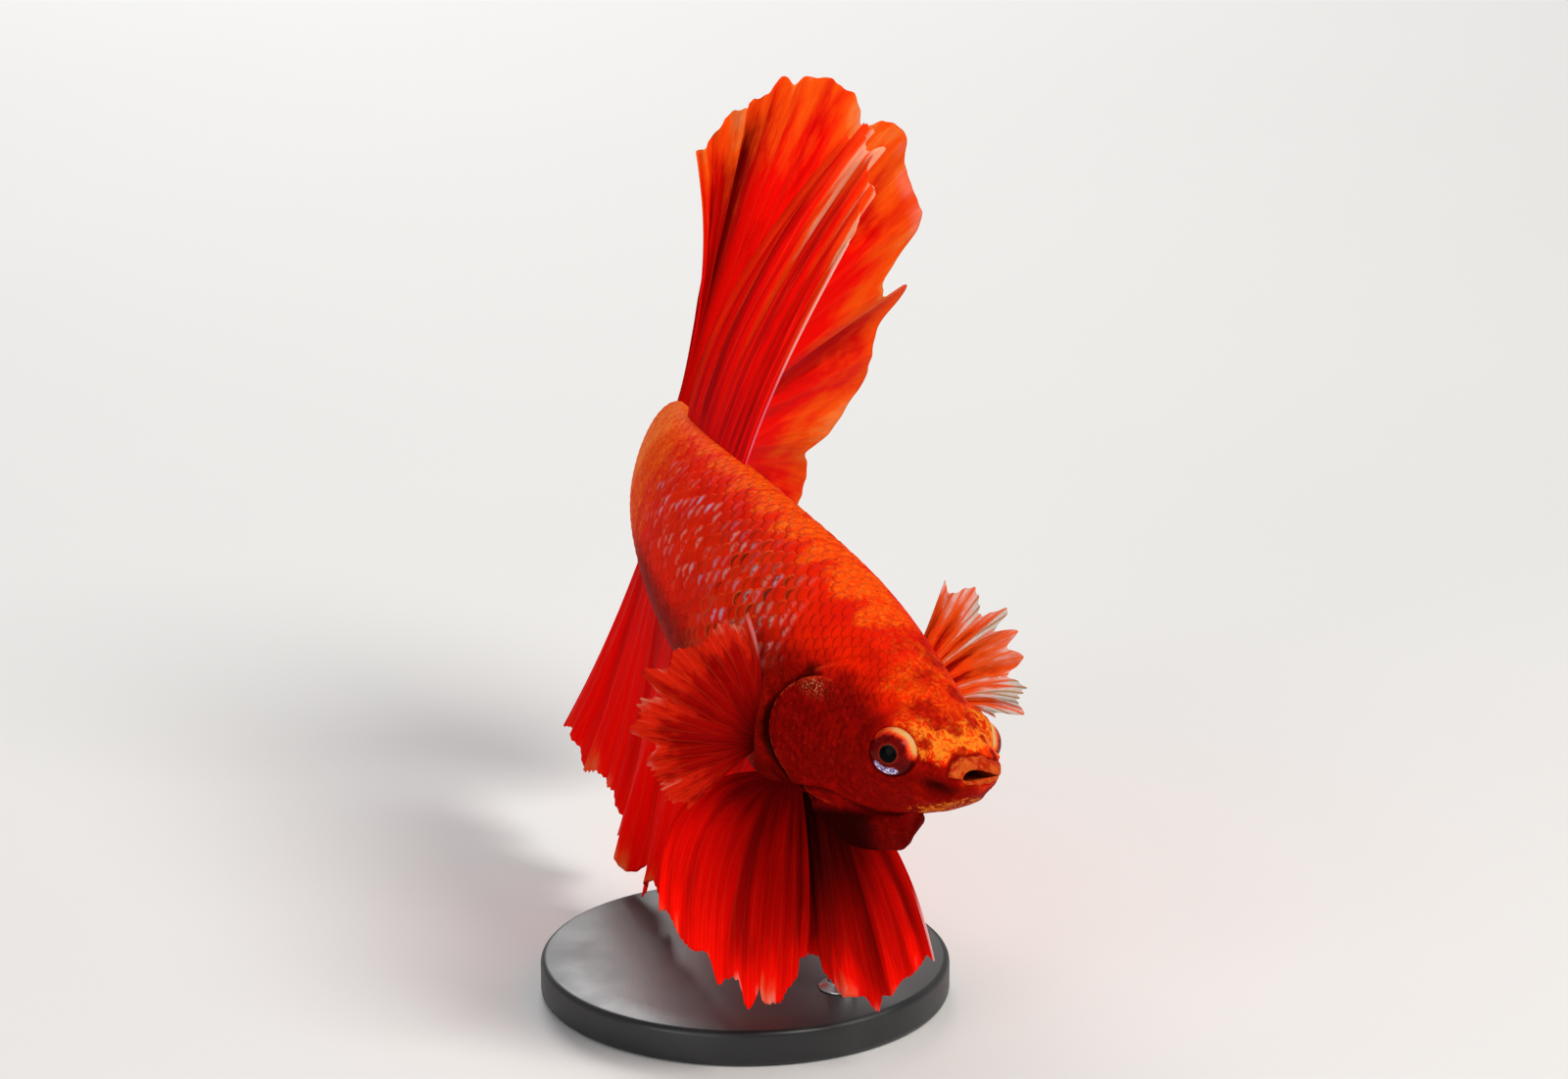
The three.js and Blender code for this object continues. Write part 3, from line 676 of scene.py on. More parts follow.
def shell_faces(across, out):
    """Quads of two equal sheets, one over the other, and of the strip that joins their margins."""
    i, j = np.meshgrid(np.arange(across - 1), np.arange(out - 1), indexing="ij")
    top = np.stack([i * out + j, (i + 1) * out + j, (i + 1) * out + j + 1, i * out + j + 1], -1)
    top = top.reshape(-1, 4)
    below = top[:, ::-1] + across * out
    root, far_side = np.arange(across) * out, (across - 1) * out + np.arange(1, out)
    margin, near_side = np.arange(across - 2, -1, -1) * out + out - 1, np.arange(out - 2, 0, -1)
    edge = np.concatenate([root, far_side, margin, near_side])
    following = np.roll(edge, -1)
    strip = np.stack([edge, edge + across * out, following + across * out, following], -1)
    return [top, below, strip]


def signed_volume(points, faces):
    """Six times the volume inside, from triangles that fan each face out; negative if inside out."""
    total = 0.0
    for block in faces:
        for k in range(1, block.shape[1] - 1):
            a, b, c = points[block[:, 0]], points[block[:, k]], points[block[:, k + 1]]
            total += np.einsum("ij,ij->", a, np.cross(b, c))
    return total


def put(name, data):
    """A new object of the data, linked into the scene."""
    made = bpy.data.objects.new(name, data)
    bpy.context.scene.collection.objects.link(made)
    return made


def piece(name, points, faces, material, masks=None, patches=None):
    """Writes one closed mesh in metres from points in millimetres and blocks of faces, turned outwards.
    masks are values at its points, and patches their places on the UV map."""
    if signed_volume(points - points.mean(0), faces) < 0:
        faces = [block[:, ::-1] for block in faces]
    mesh = bpy.data.meshes.new(name)
    loops = np.concatenate([block.ravel() for block in faces]).astype(np.int32)
    sizes = np.concatenate([np.full(len(block), block.shape[1]) for block in faces])
    starts = np.concatenate([[0], np.cumsum(sizes)[:-1]]).astype(np.int32)
    mesh.vertices.add(len(points))
    mesh.vertices.foreach_set("co", (points * MM).astype(np.float32).ravel())
    mesh.loops.add(len(loops))
    mesh.loops.foreach_set("vertex_index", loops)
    mesh.polygons.add(len(starts))
    mesh.polygons.foreach_set("loop_start", starts)
    mesh.update(calc_edges=True)
    mesh.polygons.foreach_set("use_smooth", np.ones(len(starts), bool))
    for key, values in (masks or {}).items():
        layer = mesh.attributes.new(key, "FLOAT", "POINT")
        layer.data.foreach_set("value", values.astype(np.float32))
    if patches is not None:
        layer = mesh.uv_layers.new(name="OFBake")
        layer.data.foreach_set("uv", patches[loops].astype(np.float32).ravel())
    mesh.materials.append(material)
    mesh.validate()
    made = put(name, mesh)
    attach(made, "root")
    return made


# ------------------------------------------------------------------ shader nodes


class Nodes:
    """Adds nodes to one node tree. A socket takes another node's output, a number or a colour."""

    def __init__(self, tree):
        self.tree = tree

    def wire(self, made, inputs):
        """Links outputs into a node's sockets, and sets numbers and colours on the sockets themselves."""
        for key, value in inputs.items():
            if isinstance(value, bpy.types.NodeSocket):
                self.tree.links.new(value, made.inputs[key])
            else:
                made.inputs[key].default_value = value

    def add(self, kind, inputs=None, **settings):
        made = self.tree.nodes.new(kind)
        for key, value in settings.items():
            setattr(made, key, value)
        self.wire(made, inputs or {})
        return made

    def mix(self, factor, a, b):
        """Colour a turned into colour b by a factor."""
        a, b = (c if isinstance(c, bpy.types.NodeSocket) else (*c[:3], 1.0) for c in (a, b))
        return self.add("ShaderNodeMix", {0: factor, 6: a, 7: b}, data_type="RGBA").outputs[2]

    def math(self, operation, result, *others):
        """The operation on the first value and the next, then on that result and the one after it."""
        for other in others:
            result = self.add("ShaderNodeMath", {0: result, 1: other}, operation=operation).outputs[0]
        return result

    def plus(self, *values):
        return self.math("ADD", *values)

    def times(self, *values):
        return self.math("MULTIPLY", *values)

    def span(self, value, low, high, to_low=0.0, to_high=1.0):
        """A value eased from the span low to high onto the span to_low to to_high."""
        inputs = {0: value, 1: low, 2: high, 3: to_low, 4: to_high}
        return self.add("ShaderNodeMapRange", inputs, interpolation_type="SMOOTHSTEP").outputs[0]

    def noise(self, vector, scale, detail=3.0, roughness=0.55, distortion=0.0):
        inputs = {"Vector": vector, "Scale": scale, "Detail": detail}
        inputs |= {"Roughness": roughness, "Distortion": distortion}
        return self.add("ShaderNodeTexNoise", inputs).outputs["Fac"]

    def vector(self, x, y):
        return self.add("ShaderNodeCombineXYZ", {0: x, 1: y}).outputs[0]

    def place(self):
        return self.add("ShaderNodeTexCoord").outputs["Object"]

    def value_of(self, name):
        """A mask that is written with the mesh."""
        return self.add("ShaderNodeAttribute", attribute_name=name).outputs["Fac"]

    def bump(self, strength, depth, height):
        """A normal for small bumps, depth metres high."""
        inputs = {"Strength": strength, "Distance": depth, "Height": height}
        return self.add("ShaderNodeBump", inputs).outputs[0]


def new_material(name):
    """A material with one shader: the material, its nodes and the shader."""
    material = bpy.data.materials.new(name)
    material.use_nodes = True
    material.node_tree.nodes.clear()
    nodes = Nodes(material.node_tree)
    shader = nodes.add("ShaderNodeBsdfPrincipled")
    nodes.add("ShaderNodeOutputMaterial", {"Surface": shader.outputs[0]})
    return material, nodes, shader


def new_group(name, inputs, outputs):
    """A node group with named sockets, each given with its kind: its nodes, and those inside its two ends."""
    group = bpy.data.node_groups.new(name, "ShaderNodeTree")
    for way, sockets in (("INPUT", inputs), ("OUTPUT", outputs)):
        for key, kind in sockets.items():
            group.interface.new_socket(key, in_out=way, socket_type=f"NodeSocket{kind}")
    nodes = Nodes(group)
    return nodes, nodes.add("NodeGroupInput"), nodes.add("NodeGroupOutput")


def tone(name):
    return tuple(getattr(bpy.context.scene.betta_colours, name))


FLESH_GROUP = "Betta flesh colours"
# Shade is painted shade. Dark is the cheeks' own dark red, and painted shade on the low flank and at the
# mouth's corner.
MASKS = ("Orange", "Yellow", "Dark", "Blotch", "Shade", "Pale", "Rim")


def flesh_colours():
    """Node group: the colours of skin and scales from their masks, broken up by mottling, veins and grain,
    with painted light on the tail stalk and painted shade from the Shade mask and part of the Dark mask.
    """
    found = bpy.data.node_groups.get(FLESH_GROUP)
    if found:
        return found
    nodes, inside, outside = new_group(
        FLESH_GROUP,
        {"Place": "Vector", **{key: "Float" for key in MASKS}},
        {"Color": "Color", "Roughness": "Float", "Grain": "Float"},
    )
    mix, plus, times, span = nodes.mix, nodes.plus, nodes.times, nodes.span
    place = inside.outputs["Place"]
    orange, yellow, dark, blotch, shade, pale, rim = (inside.outputs[key] for key in MASKS)
    broad = nodes.noise(place, 420.0, 2.0)
    mottle = nodes.noise(place, 1000.0, 4.0, 0.6, 0.6)
    vein = nodes.noise(place, 2300.0, 3.0, 0.65, 1.2)
    fine = nodes.noise(place, 3400.0, 3.0)
    grain = nodes.noise(place, 9000.0, 2.0)
    skin = mix(span(broad, 0.35, 0.7), tone("red"), (0.85, 0.014, 0.001))
    warm = plus(orange, span(mottle, 0.3, 0.7, -0.1, 0.1), span(vein, 0.3, 0.7, -0.26, 0.24))
    warm = times(span(warm, 0.08, 0.95), span(orange, 0.0, 0.55))
    skin = mix(warm, skin, mix(span(vein, 0.45, 0.75), tone("orange"), (0.92, 0.15, 0.006)))
    # Painted light: the tail stalk, and faintly the ridge of the back, brightened to the lightest orange.
    painted_light = plus(orange, span(vein, 0.3, 0.7, -0.12, 0.04), span(broad, 0.35, 0.7, -0.06, 0.02))
    skin = mix(span(painted_light, 0.8, 1.0), skin, (1.0, 0.2, 0.028))
    bright = plus(yellow, span(vein, 0.34, 0.66, -0.5, 0.36))
    bright = times(span(bright, 0.15, 0.9), span(yellow, 0.0, 0.3))
    skin = mix(bright, skin, mix(span(fine, 0.35, 0.7), (0.9, 0.17, 0.008), tone("yellow")))
    # Dark mask: the cheeks' own dark red, and painted shade on the low flank and at the mouth's corner.
    deep = plus(dark, span(mottle, 0.3, 0.7, -0.2, 0.2))
    deep = times(span(deep, 0.05, 1.0), span(dark, 0.0, 0.3))
    deepest = mix(span(mottle, 0.34, 0.7), tone("dark_red"), (0.3, 0.0025, 0.001))
    deepest = mix(span(vein, 0.48, 0.75, 0.0, 0.6), deepest, (0.46, 0.007, 0.002))
    skin = mix(times(deep, span(bright, 0.3, 1.0, 1.0, 0.3)), skin, deepest)
    spot = span(plus(blotch, span(mottle, 0.3, 0.7, -0.32, 0.32)), 0.25, 0.95)
    spot = times(spot, 0.92, span(blotch, 0.0, 0.35))
    skin = mix(spot, skin, mix(span(fine, 0.4, 0.65), tone("blotch"), (0.5, 0.01, 0.002)))
    freckle = times(span(fine, 0.56, 0.7), span(orange, 0.0, 0.6), 0.5)
    skin = mix(freckle, skin, (0.6, 0.012, 0.002))
    speck = times(span(grain, 0.5, 0.62), span(fine, 0.35, 0.6), pale)
    skin = mix(speck, skin, (0.78, 0.34, 0.14))
    skin = mix(times(rim, 0.6), skin, (0.72, 0.06, 0.015))
    skin = mix(shade, skin, tone("shadow"))
    rough = span(mottle, 0.3, 0.7, 0.36, 0.52)
    nodes.wire(outside, {"Color": skin, "Roughness": rough, "Grain": plus(fine, times(grain, 0.5))})
    return nodes.tree


def place_flesh_colours(nodes):
    """Puts the flesh colours into a material, fed by its mesh's masks: the group's node, and the place."""
    place = nodes.place()
    masks = {key: nodes.value_of(key.lower()) for key in MASKS}
    return nodes.add("ShaderNodeGroup", {"Place": place, **masks}, node_tree=flesh_colours()), place


def skin_material():
    """Bare skin: the flesh colours, mottled brown-orange lips with painted shade in the crease past them,
    painted shade inside the mouth, near black deep in, and a fine grain."""
    material, nodes, shader = new_material("Betta skin")
    mix, span, value_of = nodes.mix, nodes.span, nodes.value_of
    flesh, place = place_flesh_colours(nodes)
    patchy = nodes.noise(place, 1500.0, 4.0, 0.6, 0.8)
    veined = nodes.noise(place, 4200.0, 3.0, 0.6, 0.8)
    lip = mix(span(patchy, 0.4, 0.62), (0.6, 0.086, 0.012), (0.43, 0.017, 0.003))
    lip = mix(span(veined, 0.5, 0.68, 0.0, 0.5), lip, (0.66, 0.17, 0.03))
    skin = mix(value_of("lips"), flesh.outputs["Color"], lip)
    # Painted shade: dark red in the crease past the lips and at the mouth's opening, then near black deeper
    # inside the mouth.
    skin = mix(value_of("crease"), skin, (0.2, 0.002, 0.001))
    skin = mix(value_of("mouth"), skin, tone("shadow"))
    looks = {"Base Color": skin, "Roughness": flesh.outputs["Roughness"]}
    looks["Normal"] = nodes.bump(0.3, 0.00006, flesh.outputs["Grain"])
    nodes.wire(shader, looks)
    shader.inputs["Specular IOR Level"].default_value = 0.008
    shader.inputs["Specular Tint"].default_value = FLESH_SHEEN
    return material


def scale_material():
    """Scales: the flesh colours, with a dark crescent inside the free edge, partly the scale's own dark tint
    and partly painted shade, an orange rim along it, and a painted pale pink glint on some of the flank's
    scales. edge is the distance from a scale's middle, run the way along it."""
    material, nodes, shader = new_material("Betta scales")
    mix, times, span, value_of = nodes.mix, nodes.times, nodes.span, nodes.value_of
    flesh, place = place_flesh_colours(nodes)
    edge, run, luck = value_of("edge"), value_of("run"), value_of("luck")
    rough = nodes.noise(place, 2600.0, 3.0)
    tinted = mix(times(luck, 0.15), flesh.outputs["Color"], (0.9, 0.025, 0.002))
    # The crescent: painted shade, with the scale's own dark tint.
    crescent = times(span(edge, 0.4, 0.6), span(edge, 0.9, 0.78), span(run, 0.62, 0.78))
    crescent = times(crescent, span(rough, 0.3, 0.5, 0.3, 1.0), value_of("gap"))
    shaded = mix(crescent, tinted, (0.03, 0.012, 0.003))
    rim = times(span(edge, 0.74, 0.92), span(run, 0.55, 0.75))
    rim = times(rim, span(rough, 0.3, 0.55, 0.35, 1.0), value_of("rim"))
    rimmed = mix(rim, shaded, (0.8, 0.12, 0.02))
    # Painted glint: a pale patch towards the free edge of some scales.
    patch = times(span(edge, 0.96, 0.62), span(run, 0.6, 0.78))
    patch = times(patch, span(rough, 0.36, 0.56), value_of("shine"))
    shine = mix(span(luck, 0.45, 0.8), tone("glint"), (0.62, 0.36, 0.5))
    looks = {"Base Color": mix(patch, rimmed, shine), "Roughness": span(patch, 0.0, 1.0, 0.5, 0.35)}
    looks["Normal"] = nodes.bump(0.2, 0.00004, flesh.outputs["Grain"])
    nodes.wire(shader, looks)
    shader.inputs["Specular IOR Level"].default_value = 0.006
    shader.inputs["Specular Tint"].default_value = FLESH_SHEEN
    return material


# ------------------------------------------------------------------ skin


def around_angles(count):
    """Angles round the body, from the back over the left side, set closer together at the height of the eyes:
    even steps of a running sum of their wanted closeness."""
    fine = np.linspace(0, TURN, 4001)
    weight = 1 + 2.2 * (bell(fine - math.radians(80), 0.45) + bell(fine - math.radians(280), 0.45))
    total = np.cumsum(weight)
    total = (total - total[0]) / (total[-1] - total[0])
    return np.interp(np.arange(count) / count, total, fine)


def spread(knots, counts):
    """Stations from knot to knot, each stretch with its own count."""
    parts = [np.linspace(a, b, n, endpoint=False) for a, b, n in zip(knots[:-1], knots[1:], counts)]
    return np.concatenate([*parts, [knots[-1]]])


def snout_station(up, left):
    """Station where the rounded snout passes through a point of its cross-section: the share of the FRONT
    section's radius that the point lies at, looked up in how that radius grows from the tip."""
    s = np.linspace(0, FRONT, 200)
    table = outline(s)[:, :3] * closing(s)[:, None]
    upper, lower, side = table[-1]
    u = up / np.where(up > 0, upper, lower)
    v = left / side
    share = np.hypot(u, v)
    part = (u / np.maximum(share, 1e-9)) ** 2
    over, under, beside = (np.interp(share, table[:, k] / table[-1, k], s) for k in range(3))
    return part * np.where(up > 0, over, under) + (1 - part) * beside


def mouth_edge(angle):
    """Up and left of the parted lips by angle: an almond that droops sideways, wider open on the right."""
    c, n = np.cos(angle), np.sin(angle)
    m = MOUTH
    parted = m["gape"] * (0.5 - 0.5 * n) ** 1.6 * np.abs(c) ** 0.9
    up = m["height"] - m["droop"] * n**2 + np.where(c > 0, 1.4, -0.6) * parted
    return up, m["half_width"] * n


def snout_rings(angle, share):
    """Rings from the lips (share 0) to the FRONT section (share 1), on straight lines in the
    cross-section and lifted onto the rounded snout."""
    up0, left0 = mouth_edge(angle)
    up1, left1 = section(np.full_like(angle, FRONT), angle)
    up = up0 + (up1 - up0) * share[:, None]
    left = left0 + (left1 - left0) * share[:, None]
    return np.stack([snout_station(up, left), up, left], -1)


def mouth_rings(edge, count):
    """Rings from the lips back into the mouth, drawn in towards a point on its floor, deepest first."""
    q = np.linspace(1, 0, count, endpoint=False)[:, None, None]
    end = np.array([MOUTH["depth"] + 0.4, MOUTH["height"] - 0.5, 0.0])
    inside = edge + (end - edge) * q * np.array([1.0, 0.6, 0.35])
    inside[..., 1] += 0.25 * np.sin(np.pi * q[..., 0]) * np.sign(edge[..., 1] - MOUTH["height"] + 0.05)
    return inside


def grid_normals(points):
    """Unit normals of a grid that is closed round: square to its two directions, and turned away from the
    middles of its rearmost rings."""
    run = np.gradient(points, axis=0)
    turn = np.roll(points, -1, axis=1) - np.roll(points, 1, axis=1)
    normal = unit(np.cross(turn, run))
    rear = slice(len(normal) // 2, None)
    outward = np.sum(normal[rear] * (points - points.mean(1, keepdims=True))[rear])
    return normal * np.sign(outward)


def lip_profile(away, upper):
    """Height of the lips over the snout by distance from the parting, a rounded roll, and the depth of the
    crease past it."""
    wide = np.where(upper, LIPS["upper"][0], LIPS["lower"][0])
    tall = np.where(upper, LIPS["upper"][1], LIPS["lower"][1])
    x = away / wide
    roll = np.sqrt(np.clip(1 - (2 * np.clip(x, 0, 1) - 1) ** 2, 0, 1)) * tall
    crease = bell(x - 1.1, 0.15) * np.where(upper, 1.0, 0.5)
    return roll - 0.13 * crease, x, crease


def socket(points):
    """Fits the skin round the eyes: over a disc facing the way the eye looks, each point's height
    becomes that of a lid that rises to the eyeball, then drops steeply behind it."""
    radius = EYE["radius"]
    opening = 0.955 * radius
    contact = math.sqrt(radius**2 - opening**2)
    for _, side in SIDES:
        centre, axis = eye_axis(side)
        away = points - centre
        high = away @ axis
        across = away - high[..., None] * axis
        wide = np.linalg.norm(across, axis=-1)
        lid = contact + 0.07 + 0.05 * bell(wide - opening - 0.12, 0.1) - 0.28 * np.clip(wide - opening, 0, 2)
        lid -= 0.09 * bell(wide - opening - 0.34, 0.07)
        lid = np.where(wide < opening, lid - 1.1 * ease(opening, opening - 0.2, wide), lid)
        hold = ease(2.45, 1.5, wide) * (high > -1.2) * (away[..., 2] * side > -1.5)
        points = points + (hold * (lid - high))[..., None] * axis
    return points


def eye_axis(side):
    """Centre of an eye and the way it looks, straightened: sideways, turned forwards and a little upwards."""
    s, up, left = EYE["at"]
    forward, upward = math.radians(EYE["forward"]), math.radians(EYE["upward"])
    axis = np.array(
        [-math.sin(forward) * math.cos(upward), math.sin(upward), side * math.cos(forward) * math.cos(upward)]
    )
    return np.array([s, up, side * left]), axis


def skin_grid():
    """Points and masks of the whole skin as one grid of rings: inside the mouth, over the lips and the snout,
    then back to the tail. The lips are raised along the normal and forwards, the relief along the normal."""
    angle = around_angles(SKIN_AROUND)
    share = np.linspace(0, 1, SNOUT_RINGS, endpoint=False) ** 1.25
    front = snout_rings(angle, share)
    stations = spread(BODY_KNOTS, BODY_RINGS)
    s, a = np.meshgrid(stations, angle, indexing="ij")
    up, left = section(s, a, -coat_depth(s))
    body = np.stack([s, up, left], -1)
    base = np.concatenate([front, body])
    normal = grid_normals(base)
    away = np.cumsum(np.linalg.norm(np.diff(base, axis=0, prepend=base[:1]), axis=-1), axis=0)
    across = base[..., 2]
    part = np.minimum((across / MOUTH["half_width"]) ** 2, 1)
    upper = base[..., 1] > MOUTH["height"] - MOUTH["droop"] * part
    near = (away < LIPS_END["away"]) & (base[..., 0] < LIPS_END["station"])
    uneven_width = 1 + 0.07 * np.sin(4.1 * across + 1.2) + 0.05 * np.sin(9.3 * across)
    uneven_width = uneven_width * np.where(upper, 1, 1 - 0.6 * ease(1.0, 1.6, np.abs(across)))
    roll, x, crease = lip_profile(away / uneven_width, upper)
    corner = 0.4 + 0.6 * ease(0.97, 0.6, np.abs(np.sin(angle)))[None, :]
    corner = corner * (1 + 0.12 * np.sin(5.3 * across + 0.5) * np.where(upper, 1, 0))
    shape = relief(*np.moveaxis(base, -1, 0)) * ease(0.7, 1.3, away)
    forward = np.array([-LIPS["forward"], 0, 0]) * (away < 1.2)[..., None]
    points = base + unit(normal + forward) * (near * roll * corner)[..., None] + normal * shape[..., None]
    points = socket(points)
    inside = mouth_rings(points[0], MOUTH_RINGS)
    whole = np.concatenate([inside, points])
    plain = np.concatenate([mouth_rings(base[0], MOUTH_RINGS), base])
    masks = markings(*np.moveaxis(plain, -1, 0))
    hidden = np.zeros(inside.shape[:2])
    q = np.linspace(1, 0, MOUTH_RINGS, endpoint=False)
    masks["lips"] = np.concatenate([hidden + 1, near * ease(1.05, 0.85, x)])
    # The crease and mouth masks place painted shade: in the crease past the lips, and deeper inside the
    # mouth.
    outer = 0.95 * near * crease * ease(0.3, 0.6, away)
    masks["crease"] = np.concatenate([hidden + 0.4 * ease(0.05, 0.4, q)[:, None], outer])
    masks["mouth"] = np.concatenate([hidden + ease(0.35, 1.3, q)[:, None], np.zeros(away.shape)])
    return whole, masks


def build_skin():
    """The skin's grid bent onto the back bone, and closed by a point at each end."""
    points, masks = skin_grid()
    rings, around = points.shape[:2]
    ends = np.stack([points[0].mean(0), [BODY_LENGTH, points[-1, :, 1].mean(), 0.0]])
    flat = bend(np.concatenate([points.reshape(-1, 3), ends]))
    masks = {key: np.append(value, [value[0].mean(), value[-1].mean()]) for key, value in masks.items()}
    skin = piece("skin", flat, tube_faces(rings, around), skin_material(), masks)
    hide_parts(*FLESH)


# ------------------------------------------------------------------ scales


def girth(s):
    """Length round the body at stations s, from many short chords."""
    angle = np.linspace(0, TURN, 181)
    up, left = section(s[:, None], angle[None, :])
    return np.hypot(np.diff(up, axis=1), np.diff(left, axis=1)).sum(1)


def scale_lattice(rows):
    """Stations and angles of a lattice of scales, each as (count, value): a station's pitch is a share of the
    girth over the rows, and the rows divide the girth at the deepest station evenly."""
    s = np.linspace(SCALES["from"], SCALES["to"], 800)
    pitch = SCALES["pitch"] * girth(s) / rows * (0.6 + 0.4 * ease(9.0, 15.0, s))
    index = np.concatenate([[0], np.cumsum(np.diff(s) / pitch[:-1])])
    angle = np.linspace(0, TURN, 721)
    up, left = section(np.full_like(angle, DEEPEST), angle)
    run = np.concatenate([[0], np.cumsum(np.hypot(np.diff(up), np.diff(left)))])
    return (index, s), (run / run[-1] * rows, angle)


def disc(cells):
    """A square grid from -1 to 1 bent to a disc: x across and y along, each shortened by the other's half
    square."""
    line = np.linspace(-1, 1, cells)
    v, u = np.meshgrid(line, line, indexing="ij")
    return (u * np.sqrt(1 - v**2 / 2)).ravel(), (v * np.sqrt(1 - u**2 / 2)).ravel()


def wanted_scales(s, up, left):
    """Which places bear scales: the body, the nape and the cheeks, but not the lips, the snout, round
    the eyes or the gill slit."""
    from_eye = distance(s, up, np.abs(left), EYE["at"])
    on_nape = (s > 5.2) & (up > 1.2)
    on_cheek = (s > 6.2) & (up > -3.0)
    past = plate_edge(s, up, GILL_COVER)
    in_slit = (np.abs(past - 0.25) < 0.5) & (s > 9.5) & (up < 3.3)
    return ((s > 13.5) | on_nape | on_cheek) & (from_eye > 2.6) & ~in_slit


def scale_shine(i, j, s, rise, chance):
    """For each scale, by its place in the lattice and its luck: how strongly the painted glint near its free
    edge shows, how dark the painted shade of its crescent is and how bright its rim."""
    band = window(rise, 0.05, 0.3, 0.72, 0.93) * window(s, 11.5, 14.5, 29.0, 36.0)
    stripe = 0.5 + 0.3 * np.cos(np.pi * (j % 2.0)) + 0.3 * np.sin(0.9 * i + 2.3 * j)
    shine = (0.55 + 0.35 * chance[:, 3]) * band * ease(0.45, 0.85, 0.5 * stripe + 0.6 * chance[:, 0])
    front = window(s, 13.2, 15.0, 18.0, 25.0)
    gap = band * (0.1 + 0.75 * front) * ease(0.3, 0.9, chance[:, 1])
    low_front = front * window(rise, -0.45, -0.1, 0.75, 0.95)
    rim = 0.05 * band + 0.4 * np.maximum(low_front, 0.25 * band) * ease(0.1, 0.9, chance[:, 2])
    return {"shine": shine, "gap": np.maximum(gap, 0.7 * low_front * chance[:, 1]), "rim": rim}


def scale_roots(rows, lattice):
    """The lattice's scales that are wanted: each one's place in the lattice, and its root's station,
    angle and straight place."""
    (index, stations), (row, angles) = lattice
    i, j = np.meshgrid(np.arange(1, int(index[-1])), np.arange(rows), indexing="ij")
    i = i.ravel().astype(float)
    j = j.ravel() + 0.5 * (i % 2)
    s = np.interp(i, index, stations)
    a = np.interp(j % rows, row, angles)
    place, _ = body_surface(s, a)
    keep = wanted_scales(*place.T)
    return i[keep], j[keep], s[keep], a[keep], place[keep]


def scale_points(rows, lattice, i, j, s0, chance):
    """Each scale as a thin disc that lies along the body, rises to its free edge by its lift and is domed
    across: the places under it on the straight skin, and its tops and undersides on the curved body."""
    sizes = bpy.context.scene.betta_sizes
    (index, stations), (row, angles) = lattice
    x, y = disc(SCALE_CELLS)
    half_long = SCALES["half_long"] * (0.95 + 0.1 * chance[:, :1])
    half_wide = SCALES["half_wide"] * (0.96 + 0.08 * chance[:, 1:2])
    turn = 0.12 * (chance[:, 2:3] - 0.5)
    along = y * half_long + turn * x * half_wide
    across = x * half_wide - turn * y * half_long
    s = np.interp(i[:, None] + 0.55 + along, index, stations)
    a = np.interp(np.mod(j[:, None] + across, rows), row, angles)
    base, normal = body_surface(s, a)
    on_body = ease(10.0, 15.5, s0)[:, None]
    lift = sizes.scale_lift / MM * (0.12 + 0.88 * on_body * (1 - 0.7 * ease(32.0, 42.0, s0)[:, None]))
    thick = sizes.scale_thickness / MM * (0.5 + 0.5 * on_body)
    run = (y + 1) / 2
    high = lift * run**1.3 * (0.9 + 0.3 * chance[:, 3:4]) + 0.03 * on_body * (1 - x**2) * (0.3 + 0.7 * run)
    top = base + normal * (high + thick - SCALES["sunk"])[..., None]
    low = base + normal * (high * 0.9 - SCALES["sunk"])[..., None]
    return base, bend(np.concatenate([top, low], axis=1))


def scale_masks(base, i, j, s0, rise, chance):
    """Masks at the scales' points: the markings under them, one value for the whole of each scale, and
    how far along its scale and from its middle a point is."""
    x, y = disc(SCALE_CELLS)
    masks = {key: np.tile(value, (1, 2)) for key, value in markings(*np.moveaxis(base, -1, 0)).items()}
    whole = scale_shine(i, j, s0, rise, chance)
    whole["luck"] = chance[:, 3] * ease(11.0, 15.0, s0)
    masks |= {key: np.repeat(value[:, None], 2 * x.size, axis=1) for key, value in whole.items()}
    return masks | {"run": np.tile((y + 1) / 2, (len(i), 2)), "edge": np.tile(np.hypot(x, y), (len(i), 2))}


def build_scales():
    """A lattice of thin closed discs over the skin, which overlap like tiles: one piece on each side."""
    rows = bpy.context.scene.betta_sizes.scale_rows
    lattice = scale_lattice(rows)
    i, j, s0, a0, place = scale_roots(rows, lattice)
    chance = np.random.default_rng(SCALE_SEED).random((len(i), 4))
    base, points = scale_points(rows, lattice, i, j, s0, chance)
    masks = scale_masks(base, i, j, s0, place[:, 1] / outline(s0)[:, 0], chance)
    x, y = disc(SCALE_CELLS)
    root = 0.01 + 0.98 * np.stack([a0 / TURN, s0 / BODY_LENGTH], -1)
    patches = root[:, None] + np.stack([np.tile(x, 2), np.tile(y, 2)], -1) * PATCH / 2
    material = scale_material()
    for name, side in SIDES:
        mine = (place[:, 2] >= 0) == (side > 0)
        shift = (np.arange(mine.sum()) * points.shape[1])[:, None, None]
        faces = [(block + shift).reshape(-1, 4) for block in shell_faces(SCALE_CELLS, SCALE_CELLS)]
        values = {key: value[mine].ravel() for key, value in masks.items()}
        flat, places = points[mine].reshape(-1, 3), patches[mine].reshape(-1, 2)
        piece(f"scales_{name}", flat, faces, material, values, places)


# ------------------------------------------------------------------ eyes


